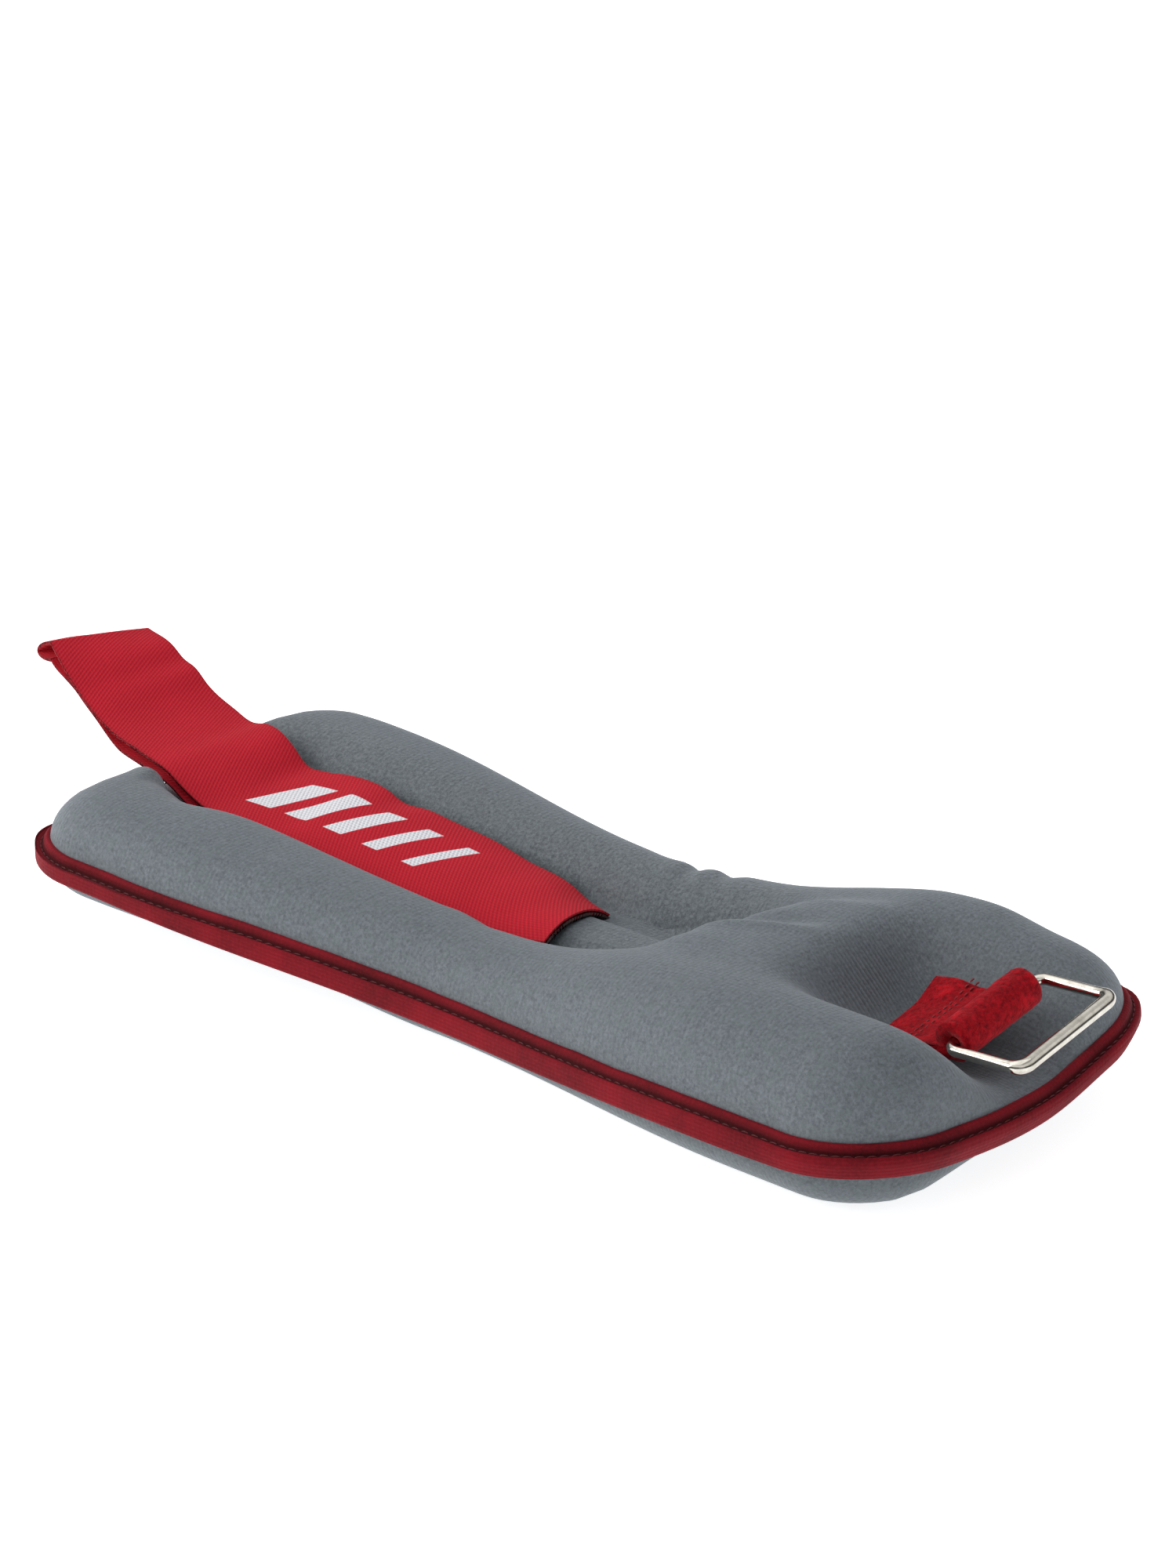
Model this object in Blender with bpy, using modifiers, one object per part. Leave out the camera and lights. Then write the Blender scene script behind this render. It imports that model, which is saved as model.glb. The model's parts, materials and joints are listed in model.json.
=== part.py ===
"""Ankle cuff weight, lying open and flat.

Blender units are metres, +Z up; the sizes below are millimetres.  X runs along
the cuff, with the strap at -X and the ring at +X.  Y runs across it: "near" is
-Y and "far" is +Y.  The middle of the inner face rests on Z = 0.
The padded body is flexible, so it is built as seven short lengths that hinge
on lines across the cuff at the height of the edge binding.
"""
import math
from contextlib import contextmanager

import bmesh
import bpy
from mathutils import Matrix, Vector

MM = 0.001

# ---------------------------------------------------------------- outline of the cuff
LENGTH = 340.0          # along the cuff, over the binding
WIDTH = 140.0           # across the ends
WAIST = 11.0            # how much each long side pulls in at the middle
WAIST_REACH = 115.0     # distance from the middle where the waist has died out
CORNER_R = 33.0

# height of the bound edge above the ground
EDGE_Z_STRAP, EDGE_Z_MID, EDGE_Z_RING = 20.5, 13.3, 19.8
EDGE_RISE_REACH = 150.0             # distance from the middle where the rise ends

# ---------------------------------------------------------------- lengths and hinges
PIECES = 7              # lengths the body is divided into, numbered 1..7 from -X
MIDDLE = (PIECES + 1) // 2
PITCH = LENGTH / PIECES
NOTCH_SLOPE = math.tan(math.radians(25.0))      # notch on each side of a hinge line
HINGE_GAP = 0.25        # clearance of each length from the hinge plane
END_MARGIN = 60.0       # how far the end cutters reach past the cuff
CUTTER_BOTTOM, CUTTER_TOP, CUTTER_HALF_Y = -20.0, 90.0, 110.0
WELD = 0.03             # points closer than this are merged after a cut

# ---------------------------------------------------------------- covers and binding
COVER_T = 3.0           # neoprene thickness
TAPE_T = 1.0            # binding tape thickness
TAPE_IN = 10.6          # how far the binding reaches in from the edge
TAPE_GAP = 0.3          # clearance between tape and covers
TAPE_DEPTHS = (TAPE_IN - 0.4, TAPE_IN * 0.72, TAPE_IN * 0.38)
TAPE_FOLD_OUT = (0.0, 4.1)      # inset and half height of the tape's outer fold
TAPE_FOLD_IN = (0.95, 3.75)     # the same for its inner fold
LIP_H, LIP_RISE = 3.2, 3.4      # cover height over the edge line, and its gain under the tape
SWELL_RUN, SWELL_RUN_RING, SWELL_RUN_UNDER = 16.0, 21.0, 15.0   # tape to full swell
CREST_MAIN, CREST_RING = 19.0, 27.0     # bulge height over the edge line
BULGE_X, BULGE_BLEND = 57.0, 6.5        # where the large ring-end bulge begins
CHANNEL_Y = 2.0         # centre line of the strap channel
CHANNEL_HALF = 21.5     # half width of the strap channel
BANK_RUN = 19.0         # distance over which the channel's banks rise
FLOOR_H, RIDGE_H, RIDGE_HALF = 6.0, 9.4, 10.5   # channel floor and its middle ridge
VALLEY_X, VALLEY_RUN = 106.0, 4.5               # dip in the ring-end bulge
VALLEY_Y, VALLEY_HALF, VALLEY_H = 2.5, 27.0, 3.4
CURL_X, CURL_RUN, CURL_H = -85.0, 80.0, 8.0     # strap end curling off the ground

# Grid of the cover panels
EDGE_INSETS = [1.25, 6.0, TAPE_IN, 13.0, 16.5, 21.5, 28.0]
EDGE_SQUEEZE = 0.3      # extra pull of the columns where the end is nearer than the inset
INNER_COLS = [-0.72, -0.56, -0.38, -0.15, 0.05, 0.25, 0.48, 0.64, 0.80]
END_ROWS = [1.25, 2.6, 4.2, 6.0, 8.2, TAPE_IN, 13.0, 15.0, 17.5, 21.5, 26.0, 31.0]
X_INNER = [-121.4, -97, -73, -49, -24.3, 0.0, 24.3, 38, 47, 53, 59, 66, 74, 84, 97,
           108, 119, 130]
X_STATIONS = ([-LENGTH / 2 + d for d in END_ROWS] + X_INNER
              + [LENGTH / 2 - d for d in reversed(END_ROWS)])
CORNER_STEPS, END_STEPS = 9, 5      # binding segments round a corner and along an end


# ---------------------------------------------------------------- scene and materials
for old_object in list(bpy.data.objects):
    bpy.data.objects.remove(old_object, do_unlink=True)

cuff_coll = bpy.data.collections.new("ankle_cuff_weight")
bpy.context.scene.collection.children.link(cuff_coll)


def material(name, color, roughness, metallic=0.0):
    mat = bpy.data.materials.new(name)
    mat.use_nodes = True
    shader = mat.node_tree.nodes["Principled BSDF"]
    shader.inputs["Base Color"].default_value = (*color, 1.0)
    shader.inputs["Roughness"].default_value = roughness
    shader.inputs["Metallic"].default_value = metallic
    mat.diffuse_color = (*color, 1.0)
    return mat


NEOPRENE = material("neoprene_grey", color=(0.115, 0.135, 0.150), roughness=0.85)
NEOPRENE_IN = material("neoprene_grey_inner", color=(0.100, 0.118, 0.132), roughness=0.9)
BINDING = material("binding_dark_red", color=(0.26, 0.010, 0.022), roughness=0.7)
WEBBING = material("webbing_red", color=(0.52, 0.018, 0.030), roughness=0.75)
TAB_RED = material("brushed_webbing_red", color=(0.42, 0.010, 0.022), roughness=0.9)
HOOK = material("hook_tape", color=(0.10, 0.008, 0.014), roughness=0.8)
POUCH = material("pouch_cloth", color=(0.55, 0.53, 0.48), roughness=0.9)
NICKEL = material("nickel_plate", color=(0.72, 0.70, 0.66), roughness=0.22, metallic=1.0)


# ---------------------------------------------------------------- mesh helpers
def add_object(name, bm, mat):
    bmesh.ops.recalc_face_normals(bm, faces=bm.faces)
    mesh = bpy.data.meshes.new(name)
    bm.to_mesh(mesh)
    bm.free()
    obj = bpy.data.objects.new(name, mesh)
    mesh.materials.append(mat)
    cuff_coll.objects.link(obj)
    return obj


@contextmanager
def editing(mesh):
    """Open a mesh as a bmesh and write it back afterwards."""
    bm = bmesh.new()
    bm.from_mesh(mesh)
    yield bm
    bm.to_mesh(mesh)
    bm.free()


def copy_object(source, name):
    obj = source.copy()
    obj.data = source.data.copy()
    obj.name = name
    cuff_coll.objects.link(obj)
    return obj


def evaluated_mesh(obj):
    bpy.context.view_layer.update()
    depsgraph = bpy.context.evaluated_depsgraph_get()
    return bpy.data.meshes.new_from_object(obj.evaluated_get(depsgraph))


def apply_modifiers(obj):
    mesh = evaluated_mesh(obj)
    old_mesh = obj.data
    obj.modifiers.clear()
    obj.data = mesh
    bpy.data.meshes.remove(old_mesh)


def loft(bm, rings, closed=False):
    """Join each ring of vertices to the next, and the last to the first if closed."""
    following = rings[1:] + (rings[:1] if closed else [])
    for ring, after in zip(rings, following):
        count = len(ring)
        for j in range(count):
            k = (j + 1) % count
            bm.faces.new((ring[j], ring[k], after[k], after[j]))


def arc(centre_x, centre_y, radius, start, sweep, steps):
    """Points on an arc, both ends included; angles in degrees."""
    points = []
    for i in range(steps + 1):
        angle = math.radians(start + sweep * i / steps)
        points.append((centre_x + radius * math.cos(angle),
                       centre_y + radius * math.sin(angle)))
    return points


# ---------------------------------------------------------------- shape of the cuff
def clamp(t):
    return min(max(t, 0.0), 1.0)


def ease(t):
    """Rise from 0 to 1, level at both ends."""
    t = clamp(t)
    return t * t * (3 - 2 * t)


def swell(t, power=2.2):
    """Rise from 0 to 1, steep at the start and level at the end."""
    return math.sqrt(max(1.0 - (1.0 - clamp(t)) ** power, 0.0))


def half_width(x):
    t = min(abs(x) / WAIST_REACH, 1.0)
    return WIDTH / 2 - WAIST * (0.5 + 0.5 * math.cos(math.pi * t))


def side_limit(x, inset=0.0):
    """Largest |y| of the outline at x, with the outline moved in by inset."""
    reach = LENGTH / 2 - abs(x)
    half = half_width(x)
    if reach < CORNER_R:
        radius = CORNER_R - inset
        along = min(max(CORNER_R - reach, 0.0), radius)
        return half - CORNER_R + math.sqrt(max(radius * radius - along * along, 0.0))
    return half - inset


def edge_distance(x, y):
    """Distance in from the outline."""
    from_end = LENGTH / 2 - abs(x)
    from_side = half_width(x) - abs(y)
    if from_end < CORNER_R and from_side < CORNER_R:
        return CORNER_R - math.hypot(CORNER_R - from_end, CORNER_R - from_side)
    return min(from_end, from_side)


def edge_height(x):
    end_z = EDGE_Z_STRAP if x < 0 else EDGE_Z_RING
    return EDGE_Z_MID + (end_z - EDGE_Z_MID) * ease(abs(x) / EDGE_RISE_REACH)


def lip(inset):
    """Height of a cover's outer surface over the edge line, under the binding."""
    return LIP_H + LIP_RISE * ease(inset / TAPE_IN)


def top_height(x, y):
    """Outer face: two long bulges with a channel between, and a big ring-end bulge."""
    inset = edge_distance(x, y)
    base = lip(inset)
    if inset <= TAPE_IN:
        return edge_height(x) + base
    off_centre = abs(y - CHANNEL_Y)

    rise = swell((inset - TAPE_IN) / SWELL_RUN)
    bank = swell((off_centre - CHANNEL_HALF) / BANK_RUN, power=2.0)
    floor = FLOOR_H + (RIDGE_H - FLOOR_H) * math.exp(-((off_centre / RIDGE_HALF) ** 4))
    main = (base + (floor - base) * rise * (1.0 - bank)
            + (CREST_MAIN - base) * min(rise, bank))

    rise = swell((inset - TAPE_IN) / SWELL_RUN_RING, power=2.4)
    dent = math.exp(-(((y - VALLEY_Y) / VALLEY_HALF) ** 4))
    dent /= 1.0 + math.exp(-(x - VALLEY_X) / VALLEY_RUN)
    ring_end = (base + (CREST_RING - base) * rise * (1.0 - dent)
                + (VALLEY_H - base) * dent * rise)

    mix = 1.0 / (1.0 + math.exp(-(x - BULGE_X) / BULGE_BLEND))
    return edge_height(x) + main * (1.0 - mix) + ring_end * mix


def bottom_height(x, y):
    """Inner face: down from the binding to the ground, or to the curl at the strap end."""
    inset = edge_distance(x, y)
    lip_z = edge_height(x) - lip(inset)
    if inset <= TAPE_IN:
        return lip_z
    ground = CURL_H * ease((CURL_X - x) / CURL_RUN)
    return lip_z + (ground - lip_z) * swell((inset - TAPE_IN) / SWELL_RUN_UNDER, power=2.4)


# ---------------------------------------------------------------- cutting into lengths
HINGE_X = [(i - (PIECES - 2) / 2) * PITCH for i in range(PIECES - 1)]
HINGE_Z = [edge_height(x) for x in HINGE_X]


def limits(k, z, gap=HINGE_GAP):
    """x range of length k at height z, notched below each hinge."""
    low, high = -LENGTH / 2 - END_MARGIN, LENGTH / 2 + END_MARGIN
    if k > 1:
        low = HINGE_X[k - 2] + gap + max(HINGE_Z[k - 2] - z, 0.0) * NOTCH_SLOPE
    if k < PIECES:
        high = HINGE_X[k - 1] - gap - max(HINGE_Z[k - 1] - z, 0.0) * NOTCH_SLOPE
    return low, high


def length_cutter(k):
    """Wedge-sided block that holds length k of the cuff."""
    hinge_heights = HINGE_Z[max(k - 2, 0):k]
    heights = [CUTTER_BOTTOM] + sorted(hinge_heights) + [CUTTER_TOP]
    profile = [(limits(k, z)[0], z) for z in heights]
    profile += [(limits(k, z)[1], z) for z in reversed(heights)]
    bm = bmesh.new()
    face = bm.faces.new([bm.verts.new((x * MM, -CUTTER_HALF_Y * MM, z * MM))
                         for x, z in profile])
    extruded = bmesh.ops.extrude_face_region(bm, geom=[face])
    moved = [g for g in extruded["geom"] if isinstance(g, bmesh.types.BMVert)]
    bmesh.ops.translate(bm, verts=moved, vec=(0, 2 * CUTTER_HALF_Y * MM, 0))
    return add_object("cutter_%d" % k, bm, POUCH)


def cut_length(source, cutter, name, merge_ground=False):
    """Part of source inside cutter; merge_ground joins its faces lying on Z = 0."""
    obj = copy_object(source, name)
    mod = obj.modifiers.new("length", "BOOLEAN")
    mod.operation = "INTERSECT"
    mod.solver = "EXACT"
    mod.object = cutter
    apply_modifiers(obj)
    with editing(obj.data) as bm:
        bmesh.ops.remove_doubles(bm, verts=bm.verts, dist=WELD * MM)
        bmesh.ops.dissolve_degenerate(bm, edges=bm.edges, dist=WELD * MM)
        bmesh.ops.triangulate(bm, faces=bm.faces, quad_method="BEAUTY", ngon_method="BEAUTY")
        if merge_ground:
            flat = [f for f in bm.faces if all(abs(v.co.z) < 1e-7 for v in f.verts)]
            if flat:
                bmesh.ops.dissolve_faces(bm, faces=flat, use_verts=True)
        bmesh.ops.recalc_face_normals(bm, faces=bm.faces)
    return obj


def keep_side(source, sign, name):
    """Copy of source with only what lies on one side of Y = 0."""
    obj = copy_object(source, name)
    with editing(obj.data) as bm:
        drop = [v for v in bm.verts if v.co.y * sign < 0]
        bmesh.ops.delete(bm, geom=drop, context="VERTS")


# ---------------------------------------------------------------- cover panels
def columns(x):
    """y of the panel's columns at x: insets from both edges, with the middle between."""
    reach = LENGTH / 2 - abs(x)
    edge = [side_limit(x, d) - EDGE_SQUEEZE * max(d - reach, 0.0) for d in EDGE_INSETS]
    return [-y for y in edge] + [c * edge[-1] for c in INNER_COLS] + edge[::-1]


def panel(name, height, mat, facing):
    """Sheet bent to height(x, y), thickened away from its facing side (+1 up, -1 down)."""
    rows, cols = len(X_STATIONS) - 1, len(columns(0.0)) - 1
    bm = bmesh.new()
    bmesh.ops.create_grid(bm, x_segments=rows, y_segments=cols, size=1.0)
    for v in bm.verts:
        x = X_STATIONS[round((v.co.x + 1) / 2 * rows)]
        y = columns(x)[round((v.co.y + 1) / 2 * cols)]
        v.co = (x * MM, y * MM, height(x, y) * MM)
    obj = add_object(name, bm, mat)
    if sum(p.normal.z for p in obj.data.polygons) * facing < 0:
        obj.data.flip_normals()
    mod = obj.modifiers.new("thickness", "SOLIDIFY")
    mod.thickness = COVER_T * MM
    mod.offset = -1.0
    mod.use_even_offset = False
    apply_modifiers(obj)
    return obj


# ---------------------------------------------------------------- edge binding
def outline():
    """Outline as (x, y, outward normal x, y), counter-clockwise from the near side."""
    straight_x, straight_y = LENGTH / 2 - CORNER_R, WIDTH / 2 - CORNER_R
    points = []
    for sign in (1, -1):
        # one long side, then the end it leads to with a corner before and after
        points += [(x, -sign * half_width(x)) for x in X_INNER[::sign]]
        points += arc(sign * straight_x, -sign * straight_y, CORNER_R,
                      start=-90 * sign, sweep=90, steps=CORNER_STEPS)
        y0, y1 = -sign * straight_y, sign * straight_y
        points += [(sign * LENGTH / 2, y0 + (y1 - y0) * i / END_STEPS)
                   for i in range(1, END_STEPS)]
        points += arc(sign * straight_x, sign * straight_y, CORNER_R,
                      start=90 - 90 * sign, sweep=90, steps=CORNER_STEPS)
    result = []
    for i, (x, y) in enumerate(points):
        before, after = points[i - 1], points[(i + 1) % len(points)]
        dx, dy = after[0] - before[0], after[1] - before[1]
        step = math.hypot(dx, dy)
        result.append((x, y, dy / step, -dx / step))
    return result


def tape_skin(clearance, fold):
    """One skin of the tape as (inset, height over the edge line), top to bottom."""
    fold_inset, fold_half = fold
    top = [(d, lip(d) + clearance) for d in TAPE_DEPTHS]
    bottom = [(d, -h) for d, h in reversed(top)]
    return top + [(fold_inset, fold_half), (fold_inset, -fold_half)] + bottom


def binding_band():
    """Folded tape: a C-shaped section carried round the outline."""
    section = (tape_skin(TAPE_GAP + TAPE_T, TAPE_FOLD_OUT)
               + tape_skin(TAPE_GAP, TAPE_FOLD_IN)[::-1])
    bm = bmesh.new()
    rings = []
    for x, y, normal_x, normal_y in outline():
        edge_z = edge_height(x)
        rings.append([bm.verts.new(((x - normal_x * d) * MM, (y - normal_y * d) * MM,
                                    (edge_z + h) * MM)) for d, h in section])
    loft(bm, rings, closed=True)
    return add_object("binding_band", bm, BINDING)


# ---------------------------------------------------------------- covers and binding, cut
def build_body():
    outer = panel("outer_source", top_height, NEOPRENE, facing=1)
    inner = panel("inner_source", bottom_height, NEOPRENE_IN, facing=-1)
    band = binding_band()
    end_names = {1: "edge_binding_strap_end", PIECES: "edge_binding_ring_end"}
    for k in range(1, PIECES + 1):
        cutter = length_cutter(k)
        cut_length(outer, cutter, "outer_cover_%d" % k)
        cut_length(inner, cutter, "inner_cover_%d" % k, merge_ground=(k == MIDDLE))
        if k in end_names:
            cut_length(band, cutter, end_names[k])
        else:
            both = cut_length(band, cutter, "binding_both_%d" % k)
            keep_side(both, -1, "edge_binding_near_%d" % k)
            keep_side(both, 1, "edge_binding_far_%d" % k)
            bpy.data.objects.remove(both, do_unlink=True)
        bpy.data.objects.remove(cutter, do_unlink=True)
    for source in (outer, inner, band):
        bpy.data.objects.remove(source, do_unlink=True)


build_body()

# ---------------------------------------------------------------- weight bags and pads
BAG_CUTS = (4, 3, 1)    # cuts of a bag's block along x, y and z
BAG_GAP = 1.6           # clearance from the hinge planes
BAG_RIM = 0.16          # share of the thickness lost at the long edges
BAG_X = (-141.0, 139.0)
BAG_EDGE = 17.2         # side bags stop this far in from the outline
BAG_BANK, BAG_BANK_RING, BAG_BANK_X = 5.5, 12.0, 110.0  # gap to the channel, wider past X
BAG_INSET, END_BAG_INSET, PAD_INSET = 4.6, 5.0, 4.2     # depth below the cover surfaces
PAD_X, PAD_HALF = (-146.0, 44.0), 8.5
CENTRE_BAG_X, CENTRE_BAG_HALF = (75.5, 91.0), CHANNEL_HALF + 3.0
SETTLE_STEPS = 12       # passes to settle x and z, which depend on each other


def bag(name, k, x_range, span, inset):
    """Block in length k, inset from the cover surfaces; span(x) gives its y range."""
    def place(a, b, c):
        z = edge_height(PITCH * (k - MIDDLE))
        for _ in range(SETTLE_STEPS):
            low, high = limits(k, z, BAG_GAP)
            low, high = max(low, x_range[0]), min(high, x_range[1])
            x = low + (high - low) * (a + 1) / 2
            y0, y1 = span(x)
            y = y0 + (y1 - y0) * (b + 1) / 2
            top = top_height(x, y) - inset
            bottom = bottom_height(x, y) + inset
            z = (top + bottom) / 2 + (top - bottom) / 2 * (1.0 - BAG_RIM * abs(b) ** 6) * c
        return x, y, z

    bm = bmesh.new()
    bmesh.ops.create_cube(bm, size=2.0)
    for axis, cuts in enumerate(BAG_CUTS):
        edges = [e for e in bm.edges
                 if abs(e.verts[0].co[axis] - e.verts[1].co[axis]) > 1.5]
        bmesh.ops.subdivide_edges(bm, edges=edges, cuts=cuts, use_grid_fill=True)
    for v in bm.verts:
        v.co = Vector(place(*v.co)) * MM
    add_object(name, bm, POUCH)


def bank_distance(x):
    return CHANNEL_HALF + (BAG_BANK if x < BAG_BANK_X else BAG_BANK_RING)


def near_span(x):
    return BAG_EDGE - side_limit(x), CHANNEL_Y - bank_distance(x)


def far_span(x):
    return CHANNEL_Y + bank_distance(x), side_limit(x) - BAG_EDGE


def pad_span(x):
    return CHANNEL_Y - PAD_HALF, CHANNEL_Y + PAD_HALF


def centre_span(x):
    return CHANNEL_Y - CENTRE_BAG_HALF, CHANNEL_Y + CENTRE_BAG_HALF


for k in range(1, PIECES + 1):
    side_inset = END_BAG_INSET if k in (1, PIECES) else BAG_INSET
    bag("weight_bag_near_%d" % k, k, BAG_X, near_span, side_inset)
    bag("weight_bag_far_%d" % k, k, BAG_X, far_span, side_inset)
for k in range(1, MIDDLE + 1):
    bag("ridge_pad_%d" % k, k, PAD_X, pad_span, PAD_INSET)
bag("weight_bag_centre_6", 6, CENTRE_BAG_X, centre_span, BAG_INSET)

# ---------------------------------------------------------------- strap
STRAP_W = 38.0
STRAP_T = 1.2
STRAP_TIP_X = 4.0
RUN_LIFT = 2.2          # underside of the top layer over the ridge
LOW_LIFT = 0.5          # underside of the lower layer over the ridge
RUN_STEPS = 3
RUN_GAP = 0.3           # strap clearance from a hinge plane
HOOK_W, HOOK_T, HOOK_LIFT = 34.0, 1.3, 0.5
HOOK_GAP = 0.6          # hook tape clearance from a hinge plane
LIFT_X = -136.0         # where the strap leaves the cuff
FOLD_AT = Vector((-213.0, 20.0, 53.0))              # centre of the fold
FOLD_DIR = Vector((0.555, 0.832, 0.0)).normalized()     # direction of the fold edge
FOLD_R = 1.75           # centre line radius of the fold
FOLD_STEPS = 6
SAG = 2.7               # droop of the free part at mid span
RIBBON_COLS = (-1.0, -0.4, 0.4, 1.0)    # points across a ribbon, in half widths


def ridge_z(x):
    return edge_height(x) + RIDGE_H


def ribbon(name, path, mat, width=STRAP_W, thick=STRAP_T):
    """Flat strip: path is a list of (centre, width direction, up direction)."""
    bm = bmesh.new()
    rings = []
    for centre, across, up in path:
        centre = Vector(centre)
        across = Vector(across).normalized() * (width / 2)
        up = Vector(up).normalized() * (thick / 2)
        upper = [centre + across * s + up for s in RIBBON_COLS]
        lower = [centre + across * s - up for s in reversed(RIBBON_COLS)]
        rings.append([bm.verts.new(p * MM) for p in upper + lower])
    loft(bm, rings)
    bm.faces.new(rings[0])
    bm.faces.new(rings[-1][::-1])
    bmesh.ops.triangulate(bm, faces=bm.faces)
    add_object(name, bm, mat)


def on_ridge(x, lift):
    """Path point of a strip lying along the ridge."""
    return (x, CHANNEL_Y, ridge_z(x) + lift + STRAP_T / 2), (0, 1, 0), (0, 0, 1)


def run_path(x0, x1, lift):
    return [on_ridge(x0 + (x1 - x0) * i / RUN_STEPS, lift) for i in range(RUN_STEPS + 1)]


def free_point(t, lift_root, lift_fold):
    """Path point of the free part, t = 0 at the cuff and 1 at the fold."""
    root = Vector((LIFT_X, CHANNEL_Y, ridge_z(LIFT_X)))
    centre = root.lerp(FOLD_AT, t)
    centre.z -= SAG * math.sin(math.pi * t)
    across = Vector((0, 1, 0)).lerp(FOLD_DIR, ease(t)).normalized()
    # square to the strip's width and to the line from cuff to fold
    up = across.cross(root - FOLD_AT).normalized()
    if up.z < 0:
        up = -up
    return centre + up * (lift_root + (lift_fold - lift_root) * t), across, up


def fold_path():
    """Half turn round the fold edge, from the lower layer to the top one."""
    to_cuff = Vector((LIFT_X, CHANNEL_Y, ridge_z(LIFT_X))) - FOLD_AT
    to_cuff = (to_cuff - FOLD_DIR * to_cuff.dot(FOLD_DIR)).normalized()
    up = to_cuff.cross(FOLD_DIR)
    if up.z < 0:
        up = -up
    path = []
    for c, s in arc(0, 0, FOLD_R, start=-90, sweep=-180, steps=FOLD_STEPS):
        radial = to_cuff * c + up * s
        path.append((FOLD_AT + radial, FOLD_DIR, radial))
    return path


# Strap lengths lying on the cuff: name, x from, x to
for name, x0, x1 in (
        ("strap_run_2", HINGE_X[0] + RUN_GAP, HINGE_X[1] - RUN_GAP),
        ("strap_run_3", HINGE_X[1] + RUN_GAP, HINGE_X[2] - RUN_GAP),
        ("strap_tip", HINGE_X[2] + RUN_GAP, STRAP_TIP_X)):
    ribbon(name, run_path(x0, x1, RUN_LIFT), WEBBING)

# Hook tape under them: name, x from, x to
for name, x0, x1 in (
        ("hook_patch_3", HINGE_X[1] + 4.0, HINGE_X[2] - HOOK_GAP),
        ("hook_patch_tip", HINGE_X[2] + HOOK_GAP, STRAP_TIP_X - 0.5)):
    ribbon(name, run_path(x0, x1, HOOK_LIFT), HOOK, HOOK_W, HOOK_T)

# Top layer: round the fold, back to the cuff and on to the first hinge
bridge = fold_path()
bridge += [free_point(t, RUN_LIFT + STRAP_T / 2, FOLD_R)
           for t in (0.97, 0.85, 0.65, 0.45, 0.25, 0.1, 0.0)]
bridge += [on_ridge(x, RUN_LIFT) for x in (-129.0, HINGE_X[0] - RUN_GAP)]
ribbon("strap_bridge", bridge, WEBBING)

# Lower layer: from the cuff out to the fold
strap_root = [on_ridge(x, LOW_LIFT) for x in (HINGE_X[0] - 1.5, -128.0)]
strap_root += [free_point(t, LOW_LIFT + STRAP_T / 2, -FOLD_R)
               for t in (0.0, 0.1, 0.25, 0.45, 0.65, 0.85, 0.96)]
ribbon("strap_root", strap_root, WEBBING)

# ---------------------------------------------------------------- ring and its tab
RING_WIRE = 3.0
RING_IN = 41.4          # centre to centre of the side bars
RING_OUT = 25.0         # centre to centre of inner and outer bar
RING_CORNER_R = 3.2
RING_AT = Vector((151.6, 4.0, 38.8))    # centre of the inner bar
RING_TILT = math.radians(10.5)          # far side higher
RING_RISE = math.radians(4.5)           # outer bar higher
TAB_W = 35.0
TAB_HOLE_R = 1.85
TAB_OUT_R = 4.4
TAB_LEN = 31.0
TAB_TAIL = (-1.3, 1.1)  # bottom and top of the tab's tail end
TAB_MOUTH = 24          # degrees each side of -x where the roll opens into the tail
TAB_DROP = math.radians(9.5)            # the tail falls away from the ring
FLAP_T = 1.2
# Flap path: distance along the tab, height over it
FLAP_POINTS = ((-11.5, 3.6), (-17.0, 3.0), (-24.0, 2.7), (-30.0, 3.4))

# Axes of the ring: along its bars, outward from the cuff, and up
bar_dir = Matrix.Rotation(RING_TILT, 3, "X") @ Vector((0, 1, 0))
out_dir = Vector((math.cos(RING_RISE), 0, math.sin(RING_RISE)))
out_dir = (out_dir - bar_dir * out_dir.dot(bar_dir)).normalized()
ring_up = out_dir.cross(bar_dir).normalized()

# Axes of the tab: the ring's, turned about the inner bar
tab_turn = Matrix.Rotation(-TAB_DROP, 3, bar_dir)
tab_out = tab_turn @ out_dir
tab_up = tab_turn @ ring_up


def add_loop(curve, points):
    spline = curve.splines.new("POLY")
    spline.points.add(len(points) - 1)
    for point, (x, y) in zip(spline.points, points):
        point.co = (x * MM, y * MM, 0, 1)
    spline.use_cyclic_u = True


def object_from_curve(name, curve, mat, axes):
    """Mesh object made from curve, with its origin on the inner bar and the given axes."""
    source = bpy.data.objects.new(name, curve)
    cuff_coll.objects.link(source)
    mesh = evaluated_mesh(source)
    bpy.data.objects.remove(source, do_unlink=True)
    obj = bpy.data.objects.new(name, mesh)
    mesh.materials.clear()
    mesh.materials.append(mat)
    cuff_coll.objects.link(obj)
    rotation = Matrix(axes).transposed().to_4x4()
    obj.matrix_world = Matrix.Translation(RING_AT * MM) @ rotation
    return obj


def wire_ring():
    """Rounded rectangle of wire."""
    curve = bpy.data.curves.new("ring_path", "CURVE")
    curve.dimensions = "3D"
    curve.bevel_depth = RING_WIRE / 2 * MM
    curve.bevel_resolution = 2
    side = RING_IN / 2 - RING_CORNER_R
    inner, outer = RING_CORNER_R, RING_OUT - RING_CORNER_R
    points = []
    for x, y, start in ((outer, side, 0), (inner, side, 90),
                        (inner, -side, 180), (outer, -side, 270)):
        points += arc(x, y, RING_CORNER_R, start, sweep=90, steps=4)
    add_loop(curve, points)
    object_from_curve("ring", curve, NICKEL, (out_dir, bar_dir, ring_up))


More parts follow.
